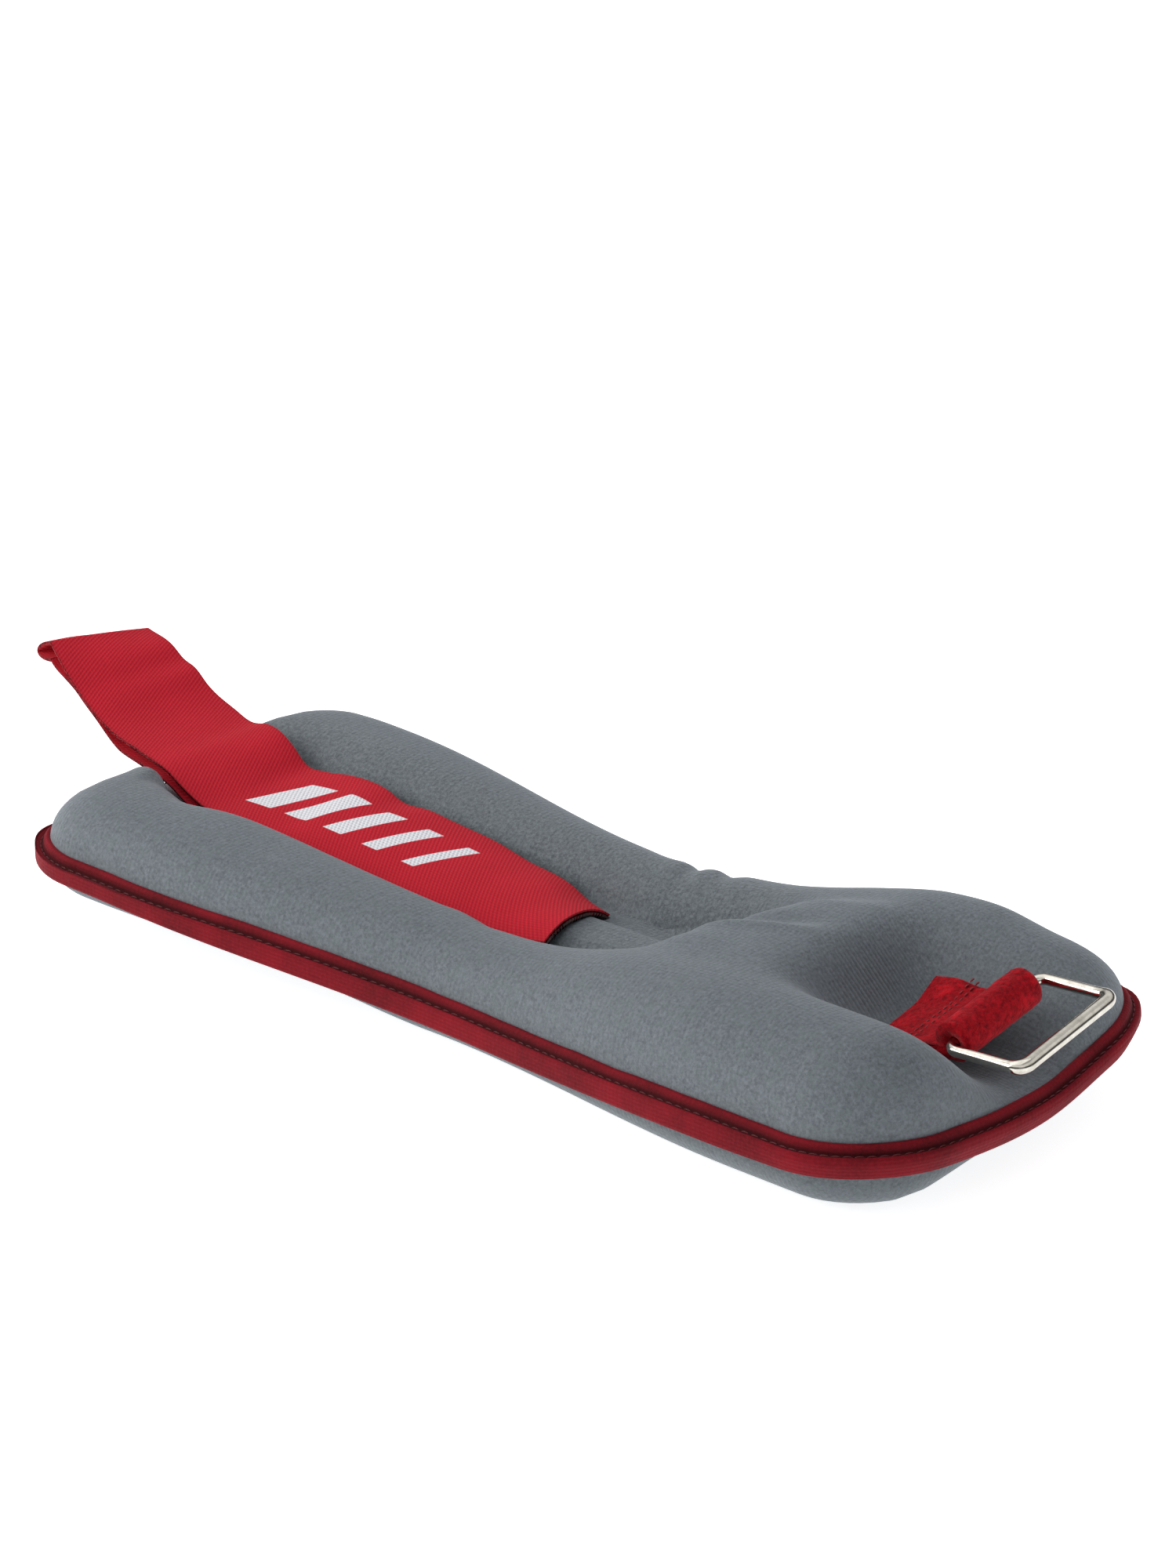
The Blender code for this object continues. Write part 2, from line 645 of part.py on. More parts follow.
def ring_tab():
    """Webbing looped round the inner bar: one closed outline with the bar's hole."""
    curve = bpy.data.curves.new("tab_outline", "CURVE")
    curve.dimensions = "2D"
    curve.fill_mode = "BOTH"
    curve.extrude = TAB_W / 2 * MM
    roll = arc(0, 0, TAB_OUT_R, start=180 - TAB_MOUTH, sweep=2 * TAB_MOUTH - 360, steps=14)
    add_loop(curve, roll + [(-TAB_LEN, y) for y in TAB_TAIL])
    add_loop(curve, arc(0, 0, TAB_HOLE_R, start=0, sweep=330, steps=11))
    # profile x away from the cuff, profile y up, extrusion along the bar
    obj = object_from_curve("ring_tab", curve, TAB_RED,
                            (tab_out, tab_up, tab_out.cross(tab_up)))
    with editing(obj.data) as bm:
        bmesh.ops.remove_doubles(bm, verts=bm.verts, dist=0.01 * MM)
        bmesh.ops.recalc_face_normals(bm, faces=bm.faces)


def ring_tab_flap():
    """Folded-back end of the tab webbing, on top of the tab behind the roll."""
    path = [(RING_AT + tab_out * along + tab_up * height, bar_dir, tab_up)
            for along, height in FLAP_POINTS]
    ribbon("ring_tab_flap", path, TAB_RED, TAB_W - 1.0, FLAP_T)


wire_ring()
ring_tab()
ring_tab_flap()

for obj in cuff_coll.objects:
    obj.data.name = obj.name
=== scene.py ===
"""Looks of the ankle cuff weight: padded neoprene covers, bound edge, strap, ring and tab."""
import json
import math

import bmesh
import bpy
import numpy as np
from mathutils import Matrix, Vector
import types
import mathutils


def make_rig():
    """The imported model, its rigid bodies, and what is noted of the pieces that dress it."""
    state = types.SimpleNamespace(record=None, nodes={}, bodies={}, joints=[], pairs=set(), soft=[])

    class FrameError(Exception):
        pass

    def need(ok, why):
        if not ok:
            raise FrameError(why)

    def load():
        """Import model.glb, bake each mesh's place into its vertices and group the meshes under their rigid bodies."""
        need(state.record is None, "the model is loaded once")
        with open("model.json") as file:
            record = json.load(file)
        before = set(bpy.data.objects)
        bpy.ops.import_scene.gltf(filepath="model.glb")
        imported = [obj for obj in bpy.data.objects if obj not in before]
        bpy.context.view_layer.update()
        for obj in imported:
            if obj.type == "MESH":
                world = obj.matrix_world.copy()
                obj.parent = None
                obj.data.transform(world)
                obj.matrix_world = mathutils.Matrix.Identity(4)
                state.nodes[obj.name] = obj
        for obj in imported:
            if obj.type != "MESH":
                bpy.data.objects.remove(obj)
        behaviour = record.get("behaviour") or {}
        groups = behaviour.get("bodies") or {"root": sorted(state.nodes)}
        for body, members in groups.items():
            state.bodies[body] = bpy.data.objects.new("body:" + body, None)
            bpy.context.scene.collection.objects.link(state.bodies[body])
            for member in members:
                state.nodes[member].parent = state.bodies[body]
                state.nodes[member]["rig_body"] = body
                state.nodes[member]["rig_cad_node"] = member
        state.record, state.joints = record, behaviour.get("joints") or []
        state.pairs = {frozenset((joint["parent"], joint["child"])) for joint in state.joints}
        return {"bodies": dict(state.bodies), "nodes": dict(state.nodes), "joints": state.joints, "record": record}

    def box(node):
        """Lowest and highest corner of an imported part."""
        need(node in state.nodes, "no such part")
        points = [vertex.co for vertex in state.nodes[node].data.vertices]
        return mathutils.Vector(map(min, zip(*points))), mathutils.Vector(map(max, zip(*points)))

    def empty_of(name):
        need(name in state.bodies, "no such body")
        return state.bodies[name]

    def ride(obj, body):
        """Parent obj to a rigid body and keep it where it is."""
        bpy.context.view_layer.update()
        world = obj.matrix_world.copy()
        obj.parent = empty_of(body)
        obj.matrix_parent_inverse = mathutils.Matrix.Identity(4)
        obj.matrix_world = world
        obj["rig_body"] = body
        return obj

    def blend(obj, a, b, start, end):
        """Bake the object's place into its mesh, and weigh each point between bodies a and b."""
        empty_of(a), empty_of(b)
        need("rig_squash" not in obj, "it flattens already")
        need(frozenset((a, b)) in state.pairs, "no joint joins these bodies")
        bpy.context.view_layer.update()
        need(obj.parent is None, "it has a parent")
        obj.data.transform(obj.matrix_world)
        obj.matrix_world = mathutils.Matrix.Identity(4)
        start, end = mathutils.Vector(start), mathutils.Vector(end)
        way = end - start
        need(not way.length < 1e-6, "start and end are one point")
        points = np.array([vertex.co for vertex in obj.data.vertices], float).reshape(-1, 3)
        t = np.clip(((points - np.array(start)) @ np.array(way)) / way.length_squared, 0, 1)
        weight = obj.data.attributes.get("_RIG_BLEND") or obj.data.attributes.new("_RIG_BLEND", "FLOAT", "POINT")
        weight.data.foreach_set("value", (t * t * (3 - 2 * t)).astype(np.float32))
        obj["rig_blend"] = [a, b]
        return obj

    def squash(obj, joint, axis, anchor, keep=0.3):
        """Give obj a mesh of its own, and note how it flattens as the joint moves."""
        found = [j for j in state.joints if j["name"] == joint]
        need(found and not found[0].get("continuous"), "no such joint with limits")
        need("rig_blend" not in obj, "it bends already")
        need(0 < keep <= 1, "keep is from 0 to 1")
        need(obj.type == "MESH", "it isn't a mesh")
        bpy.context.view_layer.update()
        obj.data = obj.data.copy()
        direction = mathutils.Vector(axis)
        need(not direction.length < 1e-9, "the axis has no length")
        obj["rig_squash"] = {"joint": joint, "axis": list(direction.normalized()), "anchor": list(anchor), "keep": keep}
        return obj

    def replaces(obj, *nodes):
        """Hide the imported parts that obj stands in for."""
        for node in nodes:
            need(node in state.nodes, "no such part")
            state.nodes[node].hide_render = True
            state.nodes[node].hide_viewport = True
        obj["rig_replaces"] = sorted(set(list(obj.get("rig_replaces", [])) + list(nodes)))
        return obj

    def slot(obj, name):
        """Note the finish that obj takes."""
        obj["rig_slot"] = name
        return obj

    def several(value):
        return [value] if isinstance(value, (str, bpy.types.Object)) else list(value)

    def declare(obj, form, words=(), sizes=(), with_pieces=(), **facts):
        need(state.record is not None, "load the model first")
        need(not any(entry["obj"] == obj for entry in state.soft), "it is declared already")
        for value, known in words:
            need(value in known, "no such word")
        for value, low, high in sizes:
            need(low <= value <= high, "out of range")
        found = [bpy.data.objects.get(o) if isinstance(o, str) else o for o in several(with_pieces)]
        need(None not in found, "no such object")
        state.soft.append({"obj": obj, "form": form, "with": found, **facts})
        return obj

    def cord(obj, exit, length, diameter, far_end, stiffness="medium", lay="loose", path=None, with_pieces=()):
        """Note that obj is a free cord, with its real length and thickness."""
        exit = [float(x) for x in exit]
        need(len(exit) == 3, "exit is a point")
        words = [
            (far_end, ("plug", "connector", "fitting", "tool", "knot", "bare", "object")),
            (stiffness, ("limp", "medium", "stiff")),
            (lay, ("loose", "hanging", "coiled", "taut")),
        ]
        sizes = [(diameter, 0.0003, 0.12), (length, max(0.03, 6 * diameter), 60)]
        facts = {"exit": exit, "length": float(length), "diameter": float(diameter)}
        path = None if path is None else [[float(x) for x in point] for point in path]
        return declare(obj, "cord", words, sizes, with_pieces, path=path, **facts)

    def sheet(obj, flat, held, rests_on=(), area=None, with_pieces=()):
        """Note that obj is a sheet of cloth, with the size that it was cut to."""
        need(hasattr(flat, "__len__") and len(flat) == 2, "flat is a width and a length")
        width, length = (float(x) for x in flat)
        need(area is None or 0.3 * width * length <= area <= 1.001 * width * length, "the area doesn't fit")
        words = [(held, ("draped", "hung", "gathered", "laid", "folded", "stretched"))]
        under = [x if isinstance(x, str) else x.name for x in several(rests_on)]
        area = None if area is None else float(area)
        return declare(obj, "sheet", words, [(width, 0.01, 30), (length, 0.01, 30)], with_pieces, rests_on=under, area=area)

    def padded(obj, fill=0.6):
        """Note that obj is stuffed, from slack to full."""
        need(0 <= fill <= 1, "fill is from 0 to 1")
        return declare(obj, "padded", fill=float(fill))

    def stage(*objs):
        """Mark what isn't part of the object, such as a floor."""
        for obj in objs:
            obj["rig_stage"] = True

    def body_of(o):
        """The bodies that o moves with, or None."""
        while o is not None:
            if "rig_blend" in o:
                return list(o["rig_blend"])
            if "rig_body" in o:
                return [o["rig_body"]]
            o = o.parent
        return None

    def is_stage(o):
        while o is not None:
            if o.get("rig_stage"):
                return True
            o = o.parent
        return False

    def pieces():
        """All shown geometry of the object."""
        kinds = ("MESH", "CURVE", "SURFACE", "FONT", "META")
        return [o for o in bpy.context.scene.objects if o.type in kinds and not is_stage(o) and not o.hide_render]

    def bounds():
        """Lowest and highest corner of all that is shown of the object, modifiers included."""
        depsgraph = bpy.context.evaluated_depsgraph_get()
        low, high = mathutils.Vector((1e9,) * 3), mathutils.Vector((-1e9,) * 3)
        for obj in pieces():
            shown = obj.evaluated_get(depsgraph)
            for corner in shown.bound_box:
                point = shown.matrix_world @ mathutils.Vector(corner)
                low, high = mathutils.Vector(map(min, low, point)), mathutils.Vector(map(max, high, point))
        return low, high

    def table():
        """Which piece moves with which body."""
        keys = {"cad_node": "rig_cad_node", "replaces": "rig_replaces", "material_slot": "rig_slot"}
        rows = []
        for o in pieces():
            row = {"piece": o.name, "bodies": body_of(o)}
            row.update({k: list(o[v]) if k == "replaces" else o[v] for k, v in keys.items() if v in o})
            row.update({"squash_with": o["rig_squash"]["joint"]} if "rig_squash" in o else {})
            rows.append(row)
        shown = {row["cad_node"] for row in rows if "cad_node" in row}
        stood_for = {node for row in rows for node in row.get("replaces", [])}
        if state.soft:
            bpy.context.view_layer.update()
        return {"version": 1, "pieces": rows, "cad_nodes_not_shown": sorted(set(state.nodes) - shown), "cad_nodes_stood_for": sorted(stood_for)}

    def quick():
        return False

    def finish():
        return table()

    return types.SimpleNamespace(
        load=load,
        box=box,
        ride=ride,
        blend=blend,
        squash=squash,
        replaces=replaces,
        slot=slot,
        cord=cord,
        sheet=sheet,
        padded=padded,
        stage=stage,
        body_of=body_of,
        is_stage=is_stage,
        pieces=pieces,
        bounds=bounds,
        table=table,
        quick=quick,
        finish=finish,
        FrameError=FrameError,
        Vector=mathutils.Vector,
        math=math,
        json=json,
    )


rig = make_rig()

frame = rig.load()
cad_lo, cad_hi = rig.bounds()

MM = 0.001
# ------------------------------------------------------------------ sizes from the frame (mm)
joints = {j["name"]: j for j in frame["joints"]}


def jpos(name):
    return np.array(joints[name]["pos_m"], float) * 1000.0


end_lo, end_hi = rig.box("edge_binding_ring_end")
LENGTH = 2.0 * end_hi[0] * 1000.0
WIDTH = (end_hi[1] - end_lo[1]) * 1000.0
mid_lo, mid_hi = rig.box("edge_binding_far_4")
HINGES = [jpos(n)[0] for n in ("wrap_1", "wrap_2", "wrap", "wrap_5", "wrap_6", "wrap_7")]
PITCH = HINGES[3] - HINGES[2]
CENTRES = [HINGES[0] - PITCH / 2 + PITCH * i for i in range(7)]
BODIES = ["cuff_strap_end", "cuff_2", "cuff_3", "cuff_middle", "cuff_5", "cuff_6", "cuff_ring_end"]
STRAPS = ["strap_bridge", "strap_run_2", "strap_run_3", "strap_tip"]

WAIST, WAIST_REACH, CORNER_R = 11.0, 115.0, 33.0
ZB_LEFT, ZB_MID, ZB_RIGHT = 20.2, 12.8, 17.4
TAPE_IN = 5.4
CH_Y, CH_HALF = 2.0, 21.5
FLOOR_H, RIDGE_H = 5.0, 9.8
RIM = 4.6           # inset where the covers leave the tape
CREST_LEFT, CREST_RIGHT = 18.8, 29.0


# ------------------------------------------------------------------ shape of the pad (mm, arrays)
def smooth(t):
    t = np.clip(t, 0.0, 1.0)
    return t * t * (3.0 - 2.0 * t)


def half_width(x):
    t = np.clip(np.abs(x) / WAIST_REACH, 0, 1)
    return WIDTH / 2 - WAIST * (0.5 + 0.5 * np.cos(np.pi * t))


def side_limit(x, inset):
    reach = LENGTH / 2 - np.abs(x)
    h = half_width(x)
    r = CORNER_R - inset
    q = np.clip(CORNER_R - reach, 0.0, np.maximum(r, 0))
    bent = h - CORNER_R + np.sqrt(np.maximum(r * r - q * q, 0.0))
    return np.where(reach < CORNER_R, bent, h - inset)


def edge_distance(x, y):
    qx = LENGTH / 2 - np.abs(x)
    qy = half_width(x) - np.abs(y)
    rounded = CORNER_R - np.hypot(CORNER_R - qx, CORNER_R - qy)
    return np.where((qx < CORNER_R) & (qy < CORNER_R), rounded, np.minimum(qx, qy))


def corner_lift(x, y):
    """The far corner of the ring end stands off the table, the strap end dips behind its near corner."""
    dip = 2.0 * smooth((-x - 132.0) / 30.0) * smooth((y + 60.0) / 26.0)
    return 5.2 * smooth((x - 112.0) / 46.0) * smooth((y - 2.0) / 60.0) - dip


def edge_height(x, y=0.0):
    left = (ZB_LEFT - ZB_MID) * smooth((10.0 - x) / 150.0)
    right = (ZB_RIGHT - ZB_MID) * smooth((x - 18.0) / 95.0)
    return ZB_MID + left + right + corner_lift(x, y)


def seam_drop(x):
    """The rolled edge sits a little lower towards the strap end and higher at the ring end."""
    return 1.7 * smooth((-x - 60.0) / 60.0) - 0.2 * smooth((x - 70.0) / 40.0)


def swell(t, power=2.2):
    t = np.clip(t, 0.0, 1.0)
    return np.sqrt(np.maximum(1.0 - (1.0 - t) ** power, 0.0))


def soft_min(a, b, k):
    h = np.clip(0.5 + 0.5 * (b - a) / k, 0.0, 1.0)
    return b + (a - b) * h - k * h * (1.0 - h)


def soft_max(a, b, k):
    return -soft_min(-a, -b, k)


def lip(d, x):
    return 2.2 + 1.6 * smooth(d / TAPE_IN) - seam_drop(x)


def lip_below(d):
    return 3.0 + 1.1 * smooth(d / TAPE_IN)


def plan(x, y):
    """The ring end is rounder than the strap end."""
    end = smooth((x - 118.0) / 48.0)
    t = np.clip(y, -70.0, 70.0) / 70.0
    cut = (((-16.582 * t -5.686) * t +21.095) * t +4.400) * t -4.060
    cut = cut - 3.6 * smooth((y - 2.0) / 58.0)
    start = 1.6 * smooth((-x - 132.0) / 30.0) * smooth((y + 60.0) / 30.0)
    return x - cut * end + start


def ripple(x, y, seed, wave):
    """Slow irregular undulation in -1..1, the same every run."""
    s = np.zeros_like(x + y)
    rng = np.random.RandomState(seed)
    for _ in range(7):
        a = rng.uniform(0, 2 * np.pi)
        f = 2 * np.pi / (wave * rng.uniform(0.7, 1.6))
        s = s + np.sin((x * np.cos(a) + y * np.sin(a)) * f + rng.uniform(0, 6.28))
    return s / 7.0


def top_height(x, y):
    d = edge_distance(x, y)
    base = lip(np.minimum(d, TAPE_IN), x)
    far = smooth((y + 5.0) / 20.0)
    run = 18.0 + 4.0 * far + 5.0 * smooth((-x - 125.0) / 30.0)
    e = swell((d - RIM) / run)
    s = np.abs(y - CH_Y)
    # the wall of the near tube gives way where the strap lifts off
    stub = smooth((-x - 141.0) / 11.0) * (1.0 - far)
    pocket = 5.5 * np.exp(-(((x + 124.0) / 13.0) ** 2)) * (1.0 - far) - 4.8 * stub
    f = swell((s - CH_HALF - 0.5 - pocket) / (20.0 - 7.0 * stub), 2.0)
    ridge = np.exp(-((s / 10.8) ** 4))
    crown = RIDGE_H - 3.6 * smooth((-x - 92.0) / 24.0)
    floor = FLOOR_H + (crown - FLOOR_H) * ridge
    tube = CREST_LEFT - 0.5 * far + 1.5 * far * np.exp(-(((x - 22.0) / 22.0) ** 2)) + 0.8 * ripple(x, y * 0.3, 5, 90.0)
    lift = corner_lift(x, y)
    left = base + (floor - lift - base) * e * (1.0 - f) + (tube - lift - base) * soft_min(e, f, 0.16)
    # one broad bulge at the ring end
    er = swell((d - RIM) / (27.0 - 3.0 * far + 12.0 * far * smooth((x - 115.0) / 35.0)), 2.5)
    dent = np.exp(-((np.abs(y - 3.0) / 25.5) ** 3.2))
    go = 1.0 / (1.0 + np.exp(-(x - 106.0 - 0.10 * y) / 4.6))
    dent = dent * go
    top = CREST_RIGHT + far * (1.0 * smooth((x - 80.0) / 20.0) - 2.5 * smooth((x - 112.0) / 30.0))
    right = base + (top - lift - base) * er * (1.0 - dent) + (5.8 - lift - base) * dent * er
    front = 54.0 + 0.30 * y
    wide = 4.2 + 9.0 * smooth((s - 20.0) / 14.0)
    mix = 1.0 / (1.0 + np.exp(-(x - front) / wide))
    z = left * (1.0 - mix) + right * mix
    # soft fold that carries the near groove up over the bulge
    q = (y + 13.0) * 0.94 - (x - 46.0) * 0.34
    along = (x - 46.0) * 0.94 + (y + 13.0) * 0.34
    gate = smooth((along - 2.0) / 10.0) * smooth((58.0 - along) / 26.0)
    z = z + gate * (1.1 * np.exp(-((q / 3.2) ** 2)) - 1.9 * np.exp(-(((q - 7.5) / 4.6) ** 2)))
    # pinches where the far tube meets the end bulge
    for cx, cy, rx, ry, depth in ((12.0, 50.0, 3.6, 17.0, 2.4), (24.0, 50.0, 4.0, 15.0, 1.8),
                                  (0.0, 52.0, 7.0, 12.0, 0.7), (20.0, -20.0, 5.0, 7.0, -0.5),
                                  (-4.0, -24.0, 5.0, 6.0, 0.9), (-18.0, -23.0, 5.0, 6.0, -0.6)):
        z = z - depth * np.exp(-(((x - cx + 0.25 * (y - cy)) / rx) ** 2) - ((y - cy) / ry) ** 2)
    z = z + 0.28 * ripple(x, y, 11, 34.0) * smooth((d - 12.0) / 10.0)
    return edge_height(x, y) + z


def floor_lift(x):
    return 8.6 * smooth((-x - 8.0) / 66.0) - 1.6 * smooth((-x - 92.0) / 40.0)


def bottom_height(x, y):
    d = edge_distance(x, y)
    z0 = edge_height(x, y) - lip_below(np.minimum(d, TAPE_IN))
    hide = smooth((x - 138.0) / 26.0) * smooth((y + 46.0) / 40.0)
    e = swell((d - RIM - 3.0 * hide) / (17.0 + 22.0 * hide), 2.4 - 0.7 * hide)
    s = np.abs(y - CH_Y)
    groove = np.exp(-(((s - 23.0) / 5.0) ** 2)) * smooth((d - 20.0) / 10.0) * smooth((70.0 - x) / 20.0)
    z = z0 + (floor_lift(x) - z0) * e + 1.6 * groove
    return np.maximum(z, 0.0)


def normals_of(height, x, y, up):
    h = 0.35
    gx = (height(x + h, y) - height(x - h, y)) / (2 * h)
    gy = (height(x, y + h) - height(x, y - h)) / (2 * h)
    n = np.stack([-gx, -gy, np.ones_like(gx)], -1)
    n /= np.linalg.norm(n, axis=-1, keepdims=True)
    return n * up


# ------------------------------------------------------------------ mesh helpers
ALL = []


def make_mesh(name, verts, faces, mats, normals=None, attrs=None, mat_index=None, smooth_faces=True):
    me = bpy.data.meshes.new(name)
    me.from_pydata([tuple(v) for v in np.asarray(verts, float) * MM], [], faces)
    me.validate(clean_customdata=False)
    if smooth_faces:
        me.polygons.foreach_set("use_smooth", [True] * len(me.polygons))
    for m in mats:
        me.materials.append(m)
    if mat_index is not None:
        me.polygons.foreach_set("material_index", mat_index)
    for key, val in (attrs or {}).items():
        val = np.asarray(val, np.float32)
        if val.ndim == 2:
            a = me.attributes.new(key, "FLOAT_VECTOR", "POINT")
            a.data.foreach_set("vector", val.ravel())
        else:
            a = me.attributes.new(key, "FLOAT", "POINT")
            a.data.foreach_set("value", val.ravel())
    me.update()
    if normals is not None:
        me.normals_split_custom_set_from_vertices([tuple(n) for n in normals])
    ob = bpy.data.objects.new(name, me)
    bpy.context.scene.collection.objects.link(ob)
    ALL.append(ob)
    return ob


def grid_normals(P):
    du = np.gradient(P, axis=0)
    dv = np.gradient(P, axis=1)
    n = np.cross(du, dv)
    m = np.linalg.norm(n, axis=-1, keepdims=True)
    return n / np.maximum(m, 1e-9)


def sheet(name, P, N, thick, mats, extra=None, rest=None):
    """Closed thin sheet from a grid of points P with outward normals N."""
    nr, nc = P.shape[:2]
    outer = P.reshape(-1, 3)
    inner = (P - N * thick).reshape(-1, 3)
    rest = outer if rest is None else rest.reshape(-1, 3)
    verts = np.vstack([outer, inner])
    o = nr * nc
    idx = np.arange(o).reshape(nr, nc)
    a, b, c, d = idx[:-1, :-1], idx[1:, :-1], idx[1:, 1:], idx[:-1, 1:]
    fo = np.stack([a, b, c, d], -1).reshape(-1, 4)
    test = np.cross(P[1, 0] - P[0, 0], P[0, 1] - P[0, 0])
    mid = (nr // 2, nc // 2)
    test = np.cross(P[mid[0] + 1 if mid[0] + 1 < nr else mid[0], mid[1]] - P[mid[0] - 1, mid[1]],
                    P[mid[0], mid[1] + 1 if mid[1] + 1 < nc else mid[1]] - P[mid[0], mid[1] - 1])
    if test @ N[mid] < 0:
        fo = fo[:, ::-1]
        flip = True
    else:
        flip = False
    fi = fo[:, ::-1] + o
    loop = np.concatenate([idx[:, 0], idx[-1, 1:], idx[-2::-1, -1], idx[0, -2:0:-1]])
    nxt = np.roll(loop, -1)
    rim = np.stack([loop, nxt, nxt + o, loop + o], -1)
    # the loop runs down column 0, so its sides face out the same way as the top faces need
    if not flip:
        rim = rim[:, ::-1]
    faces = np.vstack([fo, fi, rim]).tolist()
    n = np.vstack([N.reshape(-1, 3), -N.reshape(-1, 3)])
    attrs = {"rest": np.vstack([rest, rest]) * MM}
    for key, val in (extra or {}).items():
        attrs[key] = np.concatenate([val.ravel(), val.ravel()])
    return make_mesh(name, verts, faces, mats, n, attrs)


def blend_across(ob, i):
    """Piece i (0..5) bends over hinge i, from one length's centre to the next."""
    a, b = BODIES[i], BODIES[i + 1]
    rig.blend(ob, a, b, (CENTRES[i] * MM, 0, 0), (CENTRES[i + 1] * MM, 0, 0))
    return ob


# ------------------------------------------------------------------ materials
def new_mat(name):
    m = bpy.data.materials.new(name)
    m.use_nodes = True
    nt = m.node_tree
    for n in list(nt.nodes):
        nt.nodes.remove(n)
    out = nt.nodes.new("ShaderNodeOutputMaterial")
    p = nt.nodes.new("ShaderNodeBsdfPrincipled")
    nt.links.new(p.outputs[0], out.inputs[0])
    return m, nt, p


def srgb(r, g, b):
    def f(c):
        c /= 255.0
        return c / 12.92 if c <= 0.04045 else ((c + 0.055) / 1.055) ** 2.4
    return (f(r), f(g), f(b), 1.0)


class Nodes:
    def __init__(self, nt):
        self.nt = nt

    def new(self, kind, **props):
        n = self.nt.nodes.new(kind)
        for k, v in props.items():
            setattr(n, k, v)
        return n

    def put(self, socket, value):
        if isinstance(value, bpy.types.NodeSocket):
            self.nt.links.new(value, socket)
        else:
            socket.default_value = value

    def attr(self, name):
        return self.new("ShaderNodeAttribute", attribute_name=name)

    def math(self, op, a, b=0.0, c=None):
        n = self.new("ShaderNodeMath", operation=op)
        self.put(n.inputs[0], a)
        self.put(n.inputs[1], b)
        if c is not None:
            self.put(n.inputs[2], c)
        return n.outputs[0]

    def noise(self, vec, scale, detail=2.0, rough=0.5, dist=0.0):
        n = self.new("ShaderNodeTexNoise")
        self.put(n.inputs["Vector"], vec)
        self.put(n.inputs["Scale"], scale)
        self.put(n.inputs["Detail"], detail)
        self.put(n.inputs["Roughness"], rough)
        self.put(n.inputs["Distortion"], dist)
        return n.outputs["Fac"]

    def wave(self, vec, scale, direction="X", dist=0.0, dscale=1.0):
        n = self.new("ShaderNodeTexWave", wave_type="BANDS", bands_direction=direction)
        self.put(n.inputs["Vector"], vec)
        self.put(n.inputs["Scale"], scale)
        self.put(n.inputs["Distortion"], dist)
        self.put(n.inputs["Detail Scale"], dscale)
        return n.outputs["Fac"]

    def mix(self, fac, a, b, kind="MIX"):
        n = self.new("ShaderNodeMix", data_type="RGBA", blend_type=kind)
        self.put(n.inputs[0], fac)
        self.put(n.inputs[6], a)
        self.put(n.inputs[7], b)
        return n.outputs[2]

    def ramp(self, fac, lo, hi):
        n = self.new("ShaderNodeMapRange")
        self.put(n.inputs[0], fac)
        self.put(n.inputs[1], lo)
        self.put(n.inputs[2], hi)
        return n.outputs[0]

    def bump(self, height, strength, distance, normal=None):
        n = self.new("ShaderNodeBump")
        self.put(n.inputs["Height"], height)
        self.put(n.inputs["Strength"], strength)
        self.put(n.inputs["Distance"], distance)
        if normal is not None:
            self.put(n.inputs["Normal"], normal)
        return n.outputs[0]


